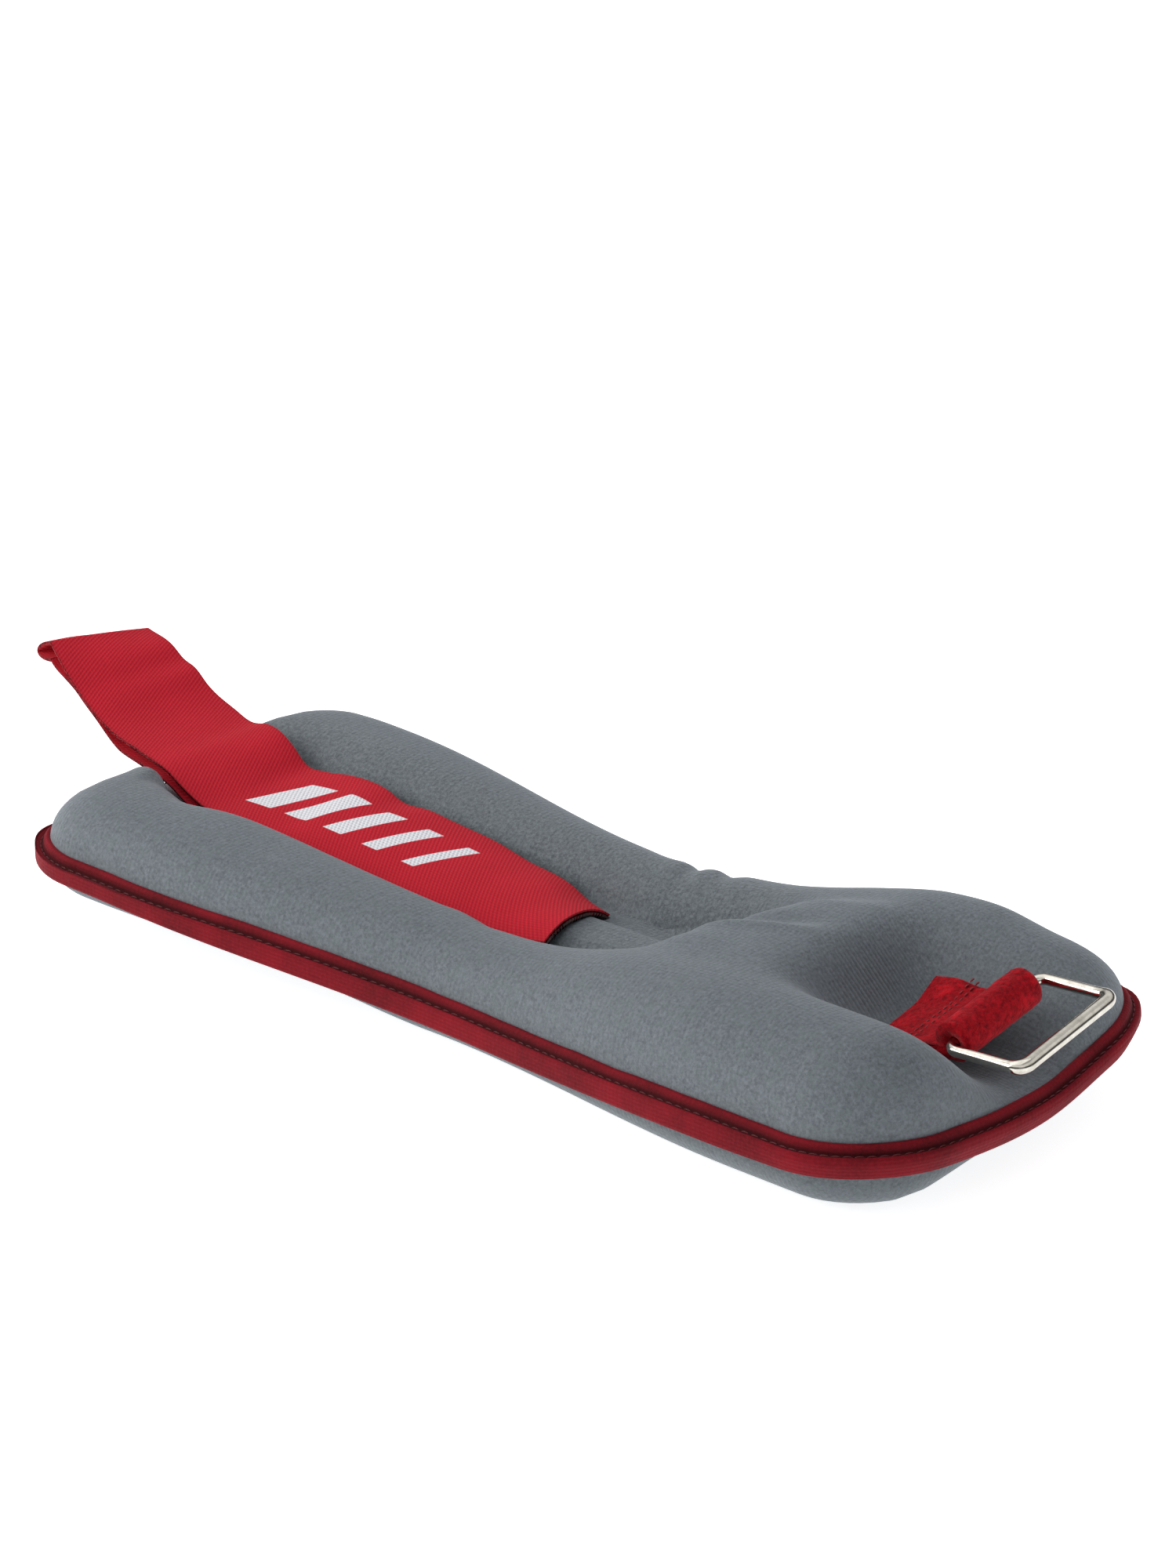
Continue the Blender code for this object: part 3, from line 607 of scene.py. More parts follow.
def neoprene(name, light, dark):
    m, nt, p = new_mat(name)
    g = Nodes(nt)
    rest = g.attr("rest").outputs["Vector"]
    fuzz = g.attr("fuzz").outputs["Fac"]
    rib = g.attr("stretch").outputs["Fac"]
    broad = g.noise(rest, 42.0, 3.0)
    fine = g.noise(rest, 1050.0, 2.0, 0.75)
    mid = g.noise(rest, 680.0, 2.0, 0.65)
    base = g.mix(g.ramp(broad, 0.3, 0.7), dark, light)
    speck = g.math("ADD", g.math("MULTIPLY", g.ramp(fine, 0.35, 0.68), 0.68),
                   g.math("MULTIPLY", g.ramp(mid, 0.35, 0.65), 0.32))
    lo = tuple(c * 0.62 for c in light[:3]) + (1.0,)
    hi = tuple(min(c * 1.44, 1) for c in light[:3]) + (1.0,)
    grain = g.mix(speck, lo, hi)
    base = g.mix(0.76, base, grain)
    # greenish and bluish threads in the knit
    hue = g.ramp(g.noise(rest, 260.0, 3.0, 0.7), 0.42, 0.60)
    base = g.mix(g.math("MULTIPLY", hue, 0.30), base, (light[0] * 1.00, light[1] * 1.10, light[2] * 0.96, 1.0))
    flo = tuple(c * 0.66 for c in light[:3]) + (1.0,)
    fhi = (light[0] * 1.40, light[1] * 1.42, light[2] * 1.34, 1.0)
    pile = g.mix(g.ramp(g.noise(rest, 900.0, 3.0, 0.8), 0.36, 0.66), flo, fhi)
    base = g.mix(g.math("MULTIPLY", fuzz, 0.75), base, pile)
    # the knit opens into fine ribs where the cover is pulled
    wale = g.wave(rest, 420.0, "DIAGONAL", 0.8, 3.0)
    base = g.mix(g.math("MULTIPLY", rib, g.math("MULTIPLY", g.ramp(wale, 0.55, 0.2), 0.5)), base,
                 tuple(c * 0.55 for c in light[:3]) + (1.0,))
    g.put(p.inputs["Base Color"], base)
    g.put(p.inputs["Roughness"], 0.88)
    g.put(p.inputs["Specular IOR Level"], 0.22)
    g.put(p.inputs["Sheen Weight"], 0.30)
    g.put(p.inputs["Sheen Roughness"], 0.45)
    g.put(p.inputs["Sheen Tint"], (0.80, 0.86, 0.92, 1.0))
    knit = g.math("ADD", g.wave(rest, 190.0, "X", 1.2, 2.0), g.wave(rest, 210.0, "Y", 1.2, 2.0))
    h = g.math("ADD", g.math("MULTIPLY", knit, 0.25), g.math("MULTIPLY", fine, 0.9))
    h = g.math("ADD", h, g.math("MULTIPLY", g.math("MULTIPLY", wale, rib), 1.6))
    h = g.math("ADD", h, g.math("MULTIPLY", g.math("MULTIPLY", mid, fuzz), 2.6))
    g.put(p.inputs["Normal"], g.bump(h, 0.6, 0.00030))
    return m


def binding_mat(name, col, deep):
    m, nt, p = new_mat(name)
    g = Nodes(nt)
    uv = g.attr("strip").outputs["Vector"]
    rest = g.attr("rest").outputs["Vector"]
    sep = g.new("ShaderNodeSeparateXYZ")
    g.put(sep.inputs[0], uv)
    wale = g.wave(uv, 260.0, "Y", 0.8, 2.0)
    course = g.wave(uv, 200.0, "X", 1.0, 2.0)
    n = g.noise(rest, 1100.0, 2.0, 0.6)
    broad = g.noise(rest, 60.0, 2.0)
    base = g.mix(g.ramp(broad, 0.3, 0.7), deep, col)
    base = g.mix(g.math("MULTIPLY", g.ramp(n, 0.4, 0.65), 0.35), base,
                 (min(col[0] * 1.35, 1), col[1] * 1.6, col[2] * 1.6, 1.0))
    base = g.mix(g.math("MULTIPLY", g.ramp(wale, 0.3, 0.9), 0.22), base, deep)
    # painted shade: the groove mask darkens the tape towards a near-black red along its stitch grooves, where the
    # rolled edge dips
    shade = g.attr("groove").outputs["Fac"]
    base = g.mix(shade, base, (deep[0] * 0.16, deep[1] * 0.16, deep[2] * 0.16, 1.0))
    g.put(p.inputs["Base Color"], base)
    g.put(p.inputs["Roughness"], 0.76)
    g.put(p.inputs["Specular IOR Level"], 0.14)
    g.put(p.inputs["Sheen Weight"], 0.08)
    g.put(p.inputs["Sheen Roughness"], 0.4)
    g.put(p.inputs["Sheen Tint"], (1.0, 0.30, 0.36, 1.0))
    h = g.math("ADD", g.math("MULTIPLY", wale, 0.7), g.math("MULTIPLY", course, 0.35))
    h = g.math("ADD", h, g.math("MULTIPLY", n, 0.9))
    g.put(p.inputs["Normal"], g.bump(h, 0.4, 0.0002))
    return m


def webbing_mat(name, col, deep, printed):
    m, nt, p = new_mat(name)
    g = Nodes(nt)
    uv = g.attr("strip").outputs["Vector"]      # metres along, metres across
    rest = uv
    sep = g.new("ShaderNodeSeparateXYZ")
    g.put(sep.inputs[0], uv)
    u, v = sep.outputs[0], sep.outputs[1]
    # twill: steep diagonals broken up by the weft
    k = 2 * math.pi / 0.00135
    diag = g.math("SINE", g.math("ADD", g.math("MULTIPLY", u, k), g.math("MULTIPLY", v, k * 0.62)))
    weft = g.math("SINE", g.math("MULTIPLY", v, 2 * math.pi / 0.00105))
    weave = g.math("ADD", g.math("MULTIPLY", diag, 0.34), g.math("MULTIPLY", weft, 0.16))
    weave = g.math("ADD", weave, 0.5)
    n = g.noise(uv, 900.0, 2.0, 0.6)
    broad = g.noise(uv, 45.0, 2.0)
    base = g.mix(weave, deep, col)
    base = g.mix(g.math("MULTIPLY", g.ramp(broad, 0.35, 0.7), 0.25), base,
                 (min(col[0] * 1.12, 1), col[1] * 1.3, col[2] * 1.3, 1.0))
    base = g.mix(g.math("MULTIPLY", g.ramp(n, 0.42, 0.62), 0.18), base, deep)
    # selvedge: the woven edge is a little darker
    edge = g.ramp(g.math("ABSOLUTE", v), 0.0176, 0.0188)
    base = g.mix(g.math("MULTIPLY", edge, 0.35), base, deep)
    rough = 0.78
    if printed:
        # plain slanted bars, five of them, thinning along the strap
        total = None
        for i in range(5):
            c0 = printed[0] + i * 0.0155
            half = 0.0052 - i * 0.0007
            slant = g.math("SUBTRACT", g.math("SUBTRACT", u, c0), g.math("MULTIPLY", v, 0.55))
            inside = g.ramp(g.math("ABSOLUTE", slant), half + 0.00015, half - 0.00015)
            total = inside if total is None else g.math("MAXIMUM", total, inside)
        tall = g.ramp(g.math("ABSOLUTE", g.math("SUBTRACT", v, 0.0005)), 0.00915, 0.00885)
        ink = g.math("MULTIPLY", g.math("MULTIPLY", total, tall), g.ramp(sep.outputs[2], -0.0006, -0.0004))
        worn = g.ramp(g.math("ADD", weave, g.math("MULTIPLY", n, 0.5)), 0.12, 0.34)
        ink = g.math("MULTIPLY", ink, worn)
        inkcol = g.mix(weave, srgb(206, 206, 210), srgb(240, 240, 243))
        base = g.mix(ink, base, inkcol)
        rough = g.math("SUBTRACT", 0.78, g.math("MULTIPLY", ink, 0.2))
    g.put(p.inputs["Base Color"], base)
    g.put(p.inputs["Roughness"], rough)
    g.put(p.inputs["Specular IOR Level"], 0.18)
    g.put(p.inputs["Sheen Weight"], 0.06)
    g.put(p.inputs["Sheen Tint"], (1.0, 0.5, 0.5, 1.0))
    h = g.math("ADD", weave, g.math("MULTIPLY", n, 0.35))
    g.put(p.inputs["Normal"], g.bump(h, 0.55, 0.00030))
    return m


def fuzzy_mat(name, col, deep, hot):
    m, nt, p = new_mat(name)
    g = Nodes(nt)
    rest = g.attr("rest").outputs["Vector"]
    n = g.noise(rest, 700.0, 4.0, 0.75)
    n2 = g.noise(rest, 160.0, 3.0, 0.6)
    base = g.mix(g.ramp(n, 0.35, 0.68), deep, col)
    base = g.mix(g.math("MULTIPLY", g.ramp(n2, 0.52, 0.75), 0.5), base, hot)
    g.put(p.inputs["Base Color"], base)
    g.put(p.inputs["Roughness"], 0.92)
    g.put(p.inputs["Specular IOR Level"], 0.15)
    g.put(p.inputs["Sheen Weight"], 0.40)
    g.put(p.inputs["Sheen Roughness"], 0.35)
    g.put(p.inputs["Sheen Tint"], (1.0, 0.18, 0.20, 1.0))
    h = g.math("ADD", n, g.math("MULTIPLY", n2, 1.2))
    g.put(p.inputs["Normal"], g.bump(h, 0.8, 0.0006))
    return m


def hook_mat(name):
    m, nt, p = new_mat(name)
    g = Nodes(nt)
    rest = g.attr("rest").outputs["Vector"]
    dots = g.math("MULTIPLY", g.wave(rest, 210.0, "X"), g.wave(rest, 210.0, "Y"))
    base = g.mix(g.ramp(dots, 0.2, 0.8), srgb(60, 8, 14), srgb(128, 22, 34))
    g.put(p.inputs["Base Color"], base)
    g.put(p.inputs["Roughness"], 0.55)
    g.put(p.inputs["Normal"], g.bump(dots, 0.9, 0.0006))
    return m


def thread_mat(name, col):
    m, nt, p = new_mat(name)
    g = Nodes(nt)
    rest = g.attr("rest").outputs["Vector"]
    n = g.wave(rest, 900.0, "DIAGONAL", 1.0)
    base = g.mix(n, tuple(c * 0.55 for c in col[:3]) + (1.0,), col)
    g.put(p.inputs["Base Color"], base)
    g.put(p.inputs["Roughness"], 0.6)
    g.put(p.inputs["Normal"], g.bump(n, 0.5, 0.0001))
    return m


def nickel_mat(name):
    m, nt, p = new_mat(name)
    g = Nodes(nt)
    rest = g.attr("rest").outputs["Vector"]
    n = g.noise(rest, 350.0, 3.0, 0.6)
    s = g.noise(rest, 2200.0, 1.0, 0.5)
    base = g.mix(g.ramp(n, 0.35, 0.7), srgb(214, 209, 199), srgb(186, 181, 170))
    g.put(p.inputs["Base Color"], base)
    g.put(p.inputs["Metallic"], 1.0)
    g.put(p.inputs["Roughness"], g.math("ADD", 0.09, g.math("MULTIPLY", n, 0.12)))
    g.put(p.inputs["Normal"], g.bump(s, 0.05, 0.00005))
    return m


GREY = neoprene("neoprene_outer", srgb(104, 109, 114), srgb(92, 97, 104))
# the underside cover takes a darker copy of the same neoprene: painted shade on the pad's underside
GREY_IN = neoprene("neoprene_inner", srgb(94, 100, 104), srgb(84, 90, 95))
BIND = binding_mat("edge_binding_red", srgb(124, 10, 24), srgb(90, 4, 14))
STRAP = webbing_mat("strap_webbing", srgb(206, 27, 45), srgb(160, 12, 30), (-0.113,))
STRAP_PLAIN = webbing_mat("strap_webbing_plain", srgb(206, 27, 45), srgb(160, 12, 30), None)
TAB = fuzzy_mat("tab_pile", srgb(182, 12, 28), srgb(108, 2, 12), srgb(240, 30, 42))
HOOKS = hook_mat("hook_tape")
THREAD = thread_mat("stitch_thread_dark", srgb(100, 12, 22))
THREAD_RED = thread_mat("stitch_thread_red", srgb(150, 22, 34))
NICKEL = nickel_mat("nickel_wire")

# ------------------------------------------------------------------ covers
INSETS = [3.9, 4.5, 4.9, 5.3, 5.8, 6.4, 7.1, 8.0, 9.0, 10.2, 11.6, 13.3, 15.2, 17.6, 20.4, 24.0, 28.0]
ENDS = [3.9, 4.2, 4.5, 4.9, 5.3, 5.8, 6.4, 7.1, 8.0, 9.0, 10.2, 11.6, 13.3, 15.2, 17.4, 19.6]
MID_COLS = 40


def row_stations(step):
    cuts = CENTRES[1:6]
    xs = [-LENGTH / 2 + d for d in ENDS]
    first, last = -LENGTH / 2 + ENDS[-1], LENGTH / 2 - ENDS[-1]
    knots = [first] + cuts + [last]
    for a, b in zip(knots[:-1], knots[1:]):
        n = max(int(round((b - a) / step)), 1)
        xs += [a + (b - a) * i / n for i in range(1, n + 1)]
    xs += [LENGTH / 2 - d for d in reversed(ENDS[:-1])]
    return np.array(xs)


def pad_grid(step, mid_cols):
    xs = row_stations(step)
    reach = LENGTH / 2 - np.abs(xs)
    cols = []
    for d in INSETS:
        cols.append(side_limit(xs, d) - 0.25 * np.maximum(d - reach, 0.0))
    edge = np.stack(cols, 1)
    inside = edge[:, -1:]
    t = np.linspace(-1, 1, mid_cols + 2)[1:-1][None, :]
    Y = np.concatenate([-edge, inside * t, edge[:, ::-1]], 1)
    X = np.repeat(xs[:, None], Y.shape[1], 1)
    return X, Y


def cover(name, height, up, step, mid_cols, mat, thick):
    X, Y = pad_grid(step, mid_cols)
    Z = height(X, Y)
    P = np.stack([plan(X, Y), Y, Z], -1)
    N = normals_of(height, X, Y, up)
    s = np.abs(Y - CH_Y)
    d = edge_distance(X, Y)
    if up > 0:
        fuzz = smooth((36.0 - s + 12.0 * smooth((Y - 5) / 20.0)) / 12.0) * smooth((52.0 + 0.3 * Y - X) / 8.0) \
            * smooth((d - 12.0) / 10.0)
        rib = np.exp(-(((X - 108.0) / 11.0) ** 2) - ((Y - 8.0) / 17.0) ** 2)
    else:
        fuzz = np.zeros_like(X)
        rib = np.zeros_like(X)
    xs = X[:, 0]
    cuts = [0] + [int(np.argmin(np.abs(xs - c))) for c in CENTRES[1:6]] + [len(xs) - 1]
    out = []
    for i in range(6):
        a, b = cuts[i], cuts[i + 1] + 1
        ob = sheet("%s_%d" % (name, i + 1), P[a:b], N[a:b], thick, [mat],
                   {"fuzz": fuzz[a:b], "stretch": rib[a:b]})
        blend_across(ob, i)
        out.append(ob)
    return out


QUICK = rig.quick() if callable(getattr(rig, "quick", None)) else False
outer = cover("outer_cover_skin", top_height, 1.0, 2.2, MID_COLS, GREY, 1.4)
inner = cover("inner_cover_skin", bottom_height, -1.0, 3.2, 26, GREY_IN, 1.4)
for k in range(1, 8):
    i = min(k - 1, 5)
    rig.replaces(outer[i], "outer_cover_%d" % k)
    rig.replaces(inner[i], "inner_cover_%d" % k)
    if k == 1:
        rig.replaces(outer[0], "weight_bag_near_1", "weight_bag_far_1", "ridge_pad_1")
    else:
        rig.replaces(outer[i], "weight_bag_near_%d" % k, "weight_bag_far_%d" % k)
        if k <= 4:
            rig.replaces(outer[i], "ridge_pad_%d" % k)
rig.replaces(outer[5], "weight_bag_centre_6")
for o in outer:
    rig.slot(o, "neoprene_outer")
for o in inner:
    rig.slot(o, "neoprene_inner")


# ------------------------------------------------------------------ edge binding
def outline_points(step=2.6):
    """Points round the outline with outward normals and running length."""
    L, r = LENGTH / 2, CORNER_R
    xs = row_stations(step)
    xs = xs[(xs > -L + r) & (xs < L - r)]
    pts = [(x, -float(half_width(x))) for x in xs]
    n_c = 16
    ends = [-(WIDTH / 2 - r) + (WIDTH - 2 * r) * i / 22 for i in range(1, 22)]

    def arc(cx, cy, a0):
        return [(cx + r * math.cos(math.radians(a0 + 90 * i / n_c)),
                 cy + r * math.sin(math.radians(a0 + 90 * i / n_c))) for i in range(n_c + 1)]
    h = WIDTH / 2
    pts += arc(L - r, -h + r, -90)
    pts += [(L, y) for y in ends]
    pts += arc(L - r, h - r, 0)
    pts += [(x, float(half_width(x))) for x in xs[::-1]]
    pts += arc(-L + r, h - r, 90)
    pts += [(-L, y) for y in ends[::-1]]
    pts += arc(-L + r, -h + r, 180)
    P = np.array(pts)
    A, B = np.roll(P, 1, 0), np.roll(P, -1, 0)
    la = np.linalg.norm(P - A, axis=1, keepdims=True)
    lb = np.linalg.norm(B - P, axis=1, keepdims=True)
    T = (P - A) / la * lb + (B - P) / lb * la
    T /= np.linalg.norm(T, axis=1, keepdims=True)
    N = np.stack([T[:, 1], -T[:, 0]], 1)
    S = np.concatenate([[0], np.cumsum(np.linalg.norm(np.diff(P, axis=0), axis=1))])
    return P, N, S


OP, ON, OS = outline_points()
PERIM = OS[-1] + np.linalg.norm(OP[0] - OP[-1])

# outer skin of the folded tape, (inset, height over the edge line): rolled edge, groove, face, flat leg
ROLL = [(5.42, 3.3), (5.5, 3.9), (5.35, 4.5), (4.9, 5.0), (4.2, 5.25), (3.5, 5.1), (2.95, 4.6),
        (2.65, 3.95), (2.45, 3.2), (2.2, 2.6), (1.85, 2.25), (1.5, 2.3), (1.1, 2.6), (0.7, 2.72),
        (0.35, 2.6), (0.1, 2.2)]
SIDE = [(0.0, 1.6), (-0.05, 0.6), (-0.06, -0.6), (-0.05, -1.8), (0.0, -2.8), (0.07, -3.4)]
FLAT = [(0.32, -3.82), (0.75, -4.05), (1.4, -4.12), (2.1, -4.15), (2.7, -4.2), (3.3, -4.45), (4.0, -4.7),
        (4.7, -4.7), (5.2, -4.4), (5.42, -3.9)]
GROOVE_AT, GROOVE_Z = 1.85, 2.50


def band_mesh(name, rows, i):
    """One run of the tape: rows index the outline; rows are consecutive."""
    P2, N2, S2 = OP[rows], ON[rows], OS[rows]
    zb = edge_height(P2[:, 0], P2[:, 1])
    wob = 0.22 * ripple(S2, S2 * 0, 21, 26.0) + 0.12 * ripple(S2, S2 * 0, 22, 9.0)
    wob2 = 0.20 * ripple(S2, S2 * 0, 23, 18.0)
    sec, groove = [], []
    drop = seam_drop(P2[:, 0])
    lean = 1.6 * smooth((P2[:, 0] - 110.0) / 50.0)
    for d, h in ROLL:
        roll = float(smooth((d - 2.2) / 1.0))
        sec.append((d + wob * roll * 0.5, h - drop + wob * (0.25 + roll * 0.6)))
        # groove mask for painted shade along the stitch groove of the rolled edge
        groove.append(0.9 * math.exp(-((d - GROOVE_AT - 0.28) / 0.55) ** 2))
    for d, h in SIDE:
        sec.append((d + wob2 * 0.5, h + wob2 * 0.0))
        groove.append(0.0)
    for d, h in FLAT:
        sec.append((d, h + 0.0 * wob2))
        # groove mask for fainter painted shade along the inner stitch line of the flat leg
        groove.append(0.45 * math.exp(-((d - 2.7) / 0.5) ** 2))
    n_out = len(sec)
    # inner skin, tucked against the covers
    for d, h in ((4.9, -3.5), (3.0, -3.4), (1.2, -2.6), (1.2, 1.4), (3.0, 2.2), (4.9, 2.6)):
        sec.append((d, h - drop * (h > 0)))
        groove.append(0.0)
    m, n = len(sec), len(rows)
    V = np.zeros((n, m, 3))
    run = np.zeros((n, m, 3))
    across = 0.0
    prev = None
    for j, (d, h) in enumerate(sec):
        d = np.broadcast_to(d, (n,)) + lean * min(max(-(float(np.mean(h)) - 0.6) / 4.0, 0.0), 1.0)
        h = np.broadcast_to(h, (n,))
        V[:, j, 1] = P2[:, 1] - N2[:, 1] * d
        V[:, j, 0] = plan(P2[:, 0] - N2[:, 0] * d, V[:, j, 1])
        V[:, j, 2] = zb + h
        if prev is not None:
            across += float(np.hypot(*(np.array([d[0], h[0]]) - prev)))
        prev = np.array([d[0], h[0]])
        run[:, j, 0] = S2
        run[:, j, 1] = across
    closed = n == len(OP)
    idx = np.arange(n * m).reshape(n, m)
    faces = []
    for r in range(n - 1):
        for j in range(m):
            faces.append([idx[r, j], idx[r, (j + 1) % m], idx[r + 1, (j + 1) % m], idx[r + 1, j]])
    faces.append([int(v) for v in idx[0, ::-1]])
    faces.append([int(v) for v in idx[-1]])
    faces = [[int(v) for v in f] for f in faces]
    # smooth normals from the whole section, so that neighbouring runs meet without a seam
    du = np.gradient(V, axis=0) if n > 2 else np.gradient(V, axis=0)
    T = np.stack([ON[rows][:, 1] * -1.0, ON[rows][:, 0], np.zeros(n)], -1)
    dv = np.roll(V, -1, 1) - np.roll(V, 1, 1)
    N = np.cross(np.broadcast_to(T[:, None, :], V.shape), dv)
    N /= np.maximum(np.linalg.norm(N, axis=-1, keepdims=True), 1e-9)
    test = (V[:, n_out // 2, :2] - P2 * 0.0)
    outward = np.einsum("ij,ij->i", N[:, len(ROLL) + 3, :2], ON[rows])
    if outward.mean() < 0:
        N = -N
    else:
        pass
    ob = make_mesh(name, V.reshape(-1, 3), faces, [BIND], N.reshape(-1, 3),
                   {"rest": V.reshape(-1, 3) * MM, "strip": run.reshape(-1, 3) * MM,
                    "groove": np.tile(np.array(groove), n)})
    bm = bmesh.new()
    bm.from_mesh(ob.data)
    bm.free()
    return ob


def run_rows(test):
    """Consecutive outline indices for which test(x) holds, starting at the right place."""
    n = len(OP)
    ok = np.array([test(x) for x, _ in OP])
    start = next(i for i in range(n) if ok[i] and not ok[i - 1])
    rows = []
    i = start
    while ok[i % n]:
        rows.append(i % n)
        i += 1
        if len(rows) > n:
            break
    return np.array(rows)


def side_runs(x0, x1, sign):
    e = 0.01
    n = len(OP)
    rows = [i for i in range(n) if x0 - e <= OP[i, 0] <= x1 + e and OP[i, 1] * sign > 0]
    # order is already consecutive along each side
    return np.array(rows)


bands = {}
for i in range(6):
    x0, x1 = CENTRES[i], CENTRES[i + 1]
    if i == 0:
        rows = run_rows(lambda x: x <= x1 + 0.01)
        b = [band_mesh("edge_binding_tape_strap_end", rows, i)]
    elif i == 5:
        rows = run_rows(lambda x: x >= x0 - 0.01)
        b = [band_mesh("edge_binding_tape_ring_end", rows, i)]
    else:
        b = [band_mesh("edge_binding_tape_near_%d" % i, side_runs(x0, x1, -1), i),
             band_mesh("edge_binding_tape_far_%d" % i, side_runs(x0, x1, 1), i)]
    for ob in b:
        blend_across(ob, i)
        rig.slot(ob, "edge_binding")
    bands[i] = b
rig.replaces(bands[0][0], "edge_binding_strap_end")
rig.replaces(bands[5][0], "edge_binding_ring_end")
for k in range(2, 7):
    i = min(k - 1, 4)
    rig.replaces(bands[i][0], "edge_binding_near_%d" % k)
    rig.replaces(bands[i][1], "edge_binding_far_%d" % k)


# ------------------------------------------------------------------ stitches in the binding's groove
def at_length(s):
    s = s % PERIM
    i = int(np.searchsorted(OS, s, side="right") - 1)
    j = (i + 1) % len(OP)
    seg = (OS[j] if j else PERIM) - OS[i]
    t = (s - OS[i]) / max(seg, 1e-6)
    p = OP[i] * (1 - t) + OP[j] * t
    n = ON[i] * (1 - t) + ON[j] * t
    return p, n / np.linalg.norm(n)


def capsule_rows(c, tdir, updir, length, rad, sink):
    """Small thread bump: 5 rings of 6 points."""
    side = np.cross(tdir, updir)
    rings = []
    for t, r, z in ((-1, 0.25, -0.6), (-0.6, 0.85, -0.1), (0, 1, 0.12), (0.6, 0.85, -0.1), (1, 0.25, -0.6)):
        cc = c + tdir * (t * length / 2) + updir * (z * rad * sink)
        rings.append([cc + (side * math.cos(a) + updir * math.sin(a)) * rad * r
                      for a in np.linspace(0, 2 * math.pi, 6, endpoint=False)])
    return rings


def stitch_mesh(name, places, mat, length=2.9, rad=0.42, sink=1.0):
    V, F = [], []
    for c, t, u in places:
        rings = capsule_rows(np.array(c), np.array(t), np.array(u), length, rad, sink)
        o = len(V)
        for r in rings:
            V += r
        m = 6
        for a in range(len(rings) - 1):
            for j in range(m):
                F.append([o + a * m + j, o + a * m + (j + 1) % m, o + (a + 1) * m + (j + 1) % m,
                          o + (a + 1) * m + j])
        F.append([o + j for j in range(m)][::-1])
        F.append([o + (len(rings) - 1) * m + j for j in range(m)])
    V = np.array(V)
    return make_mesh(name, V, F, [mat], None, {"rest": V * MM})


def edge_stitches(name, sign, pitch, mat, length, rad):
    groups = {i: [] for i in range(6)}
    count = int(PERIM / pitch)
    for k in range(count):
        s = (k + 0.5) * PERIM / count
        p, n = at_length(s)
        d = GROOVE_AT if sign > 0 else 2.9 + 1.6 * float(smooth((p[0] - 110.0) / 50.0))
        x, y = p[0] - n[0] * d, p[1] - n[1] * d
        z = float(edge_height(np.array(x), np.array(y))) + (GROOVE_Z - float(seam_drop(np.array(x))) if sign > 0 else -4.25)
        t = (-n[1], n[0], 0.0)
        i = int(np.clip(np.searchsorted(CENTRES, x) - 1, 0, 5))
        x = float(plan(x, y))
        # a stitch never crosses from one blended piece to the next
        groups[i].append(((x, y, z), t, (0, 0, sign)))
    for i, places in groups.items():
        ob = stitch_mesh("%s_%d" % (name, i + 1), places, mat, length, rad)
        blend_across(ob, i)
        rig.slot(ob, "edge_binding")


edge_stitches("stitch_line_outer", 1.0, 3.4, THREAD, 2.7, 0.26)
edge_stitches("stitch_line_inner", -1.0, 4.1, THREAD_RED, 2.6, 0.42)

# ------------------------------------------------------------------ strap
fold_c = jpos("strap_unfold")
fold_axis = -np.array(joints["strap_unfold"]["axis"], float)
fold_axis /= np.linalg.norm(fold_axis)
STRAP_W, STRAP_T = 38.0, 1.1
TIP_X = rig.box("strap_tip")[1][0] * 1000.0
# edges of the strap's top layer, (x, y, z), from the fold to the free end
NEAR_EDGE = np.array([(-217.0, 0.0, 55.2), (-206.2, -4.0, 49.8), (-195.3, -7.0, 44.2), (-178.0, -11.0, 38.4),
                      (-161.6, -14.0, 36.6), (-148.5, -16.0, 34.7), (-140.0, -17.3, 31.6), (-131.0, -18.3, 28.7),
                      (-116.4, -18.8, 28.3), (-106.2, -18.5, 27.5), (-94.7, -18.5, 26.8), (-77.0, -18.5, 25.8),
                      (-58.8, -18.5, 24.7), (-33.9, -18.6, 23.1), (-20.7, -19.3, 21.6), (-8.9, -18.4, 21.4),
                      (6.0, -15.7, 23.1)])
FAR_EDGE = np.array([(-206.9, 33.1, 53.3), (-193.4, 31.0, 51.1), (-189.0, 30.5, 48.6), (-182.0, 29.5, 46.9),
                     (-175.5, 28.5, 43.1), (-162.2, 27.0, 38.8), (-152.7, 25.0, 37.6), (-144.4, 24.0, 39.2),
                     (-137.0, 22.5, 38.7), (-131.0, 21.5, 36.0), (-124.7, 20.6, 32.0), (-116.0, 20.8, 31.9),
                     (-107.2, 21.5, 33.0), (-91.9, 21.5, 32.8), (-83.1, 20.6, 30.7), (-73.3, 21.0, 31.0),
                     (-63.1, 21.0, 29.9), (-47.9, 21.0, 28.5), (-32.0, 20.0, 26.2), (-14.2, 19.6, 23.6),
                     (-7.0, 19.4, 20.6), (0.8, 19.2, 18.9)])


def hermite(table, x, col):
    """Smooth curve through a table's points."""
    X, Y = table[:, 0], table[:, col]
    m = np.gradient(Y, X)
    i = np.clip(np.searchsorted(X, x) - 1, 0, len(X) - 2)
    h = X[i + 1] - X[i]
    t = np.clip((x - X[i]) / h, 0.0, 1.0)
    return ((2 * t ** 3 - 3 * t ** 2 + 1) * Y[i] + (t ** 3 - 2 * t ** 2 + t) * h * m[i]
            + (-2 * t ** 3 + 3 * t ** 2) * Y[i + 1] + (t ** 3 - t ** 2) * h * m[i + 1])


def ridge_top(x):
    return top_height(x, np.full_like(x, CH_Y))


AIR_X = HINGES[0]


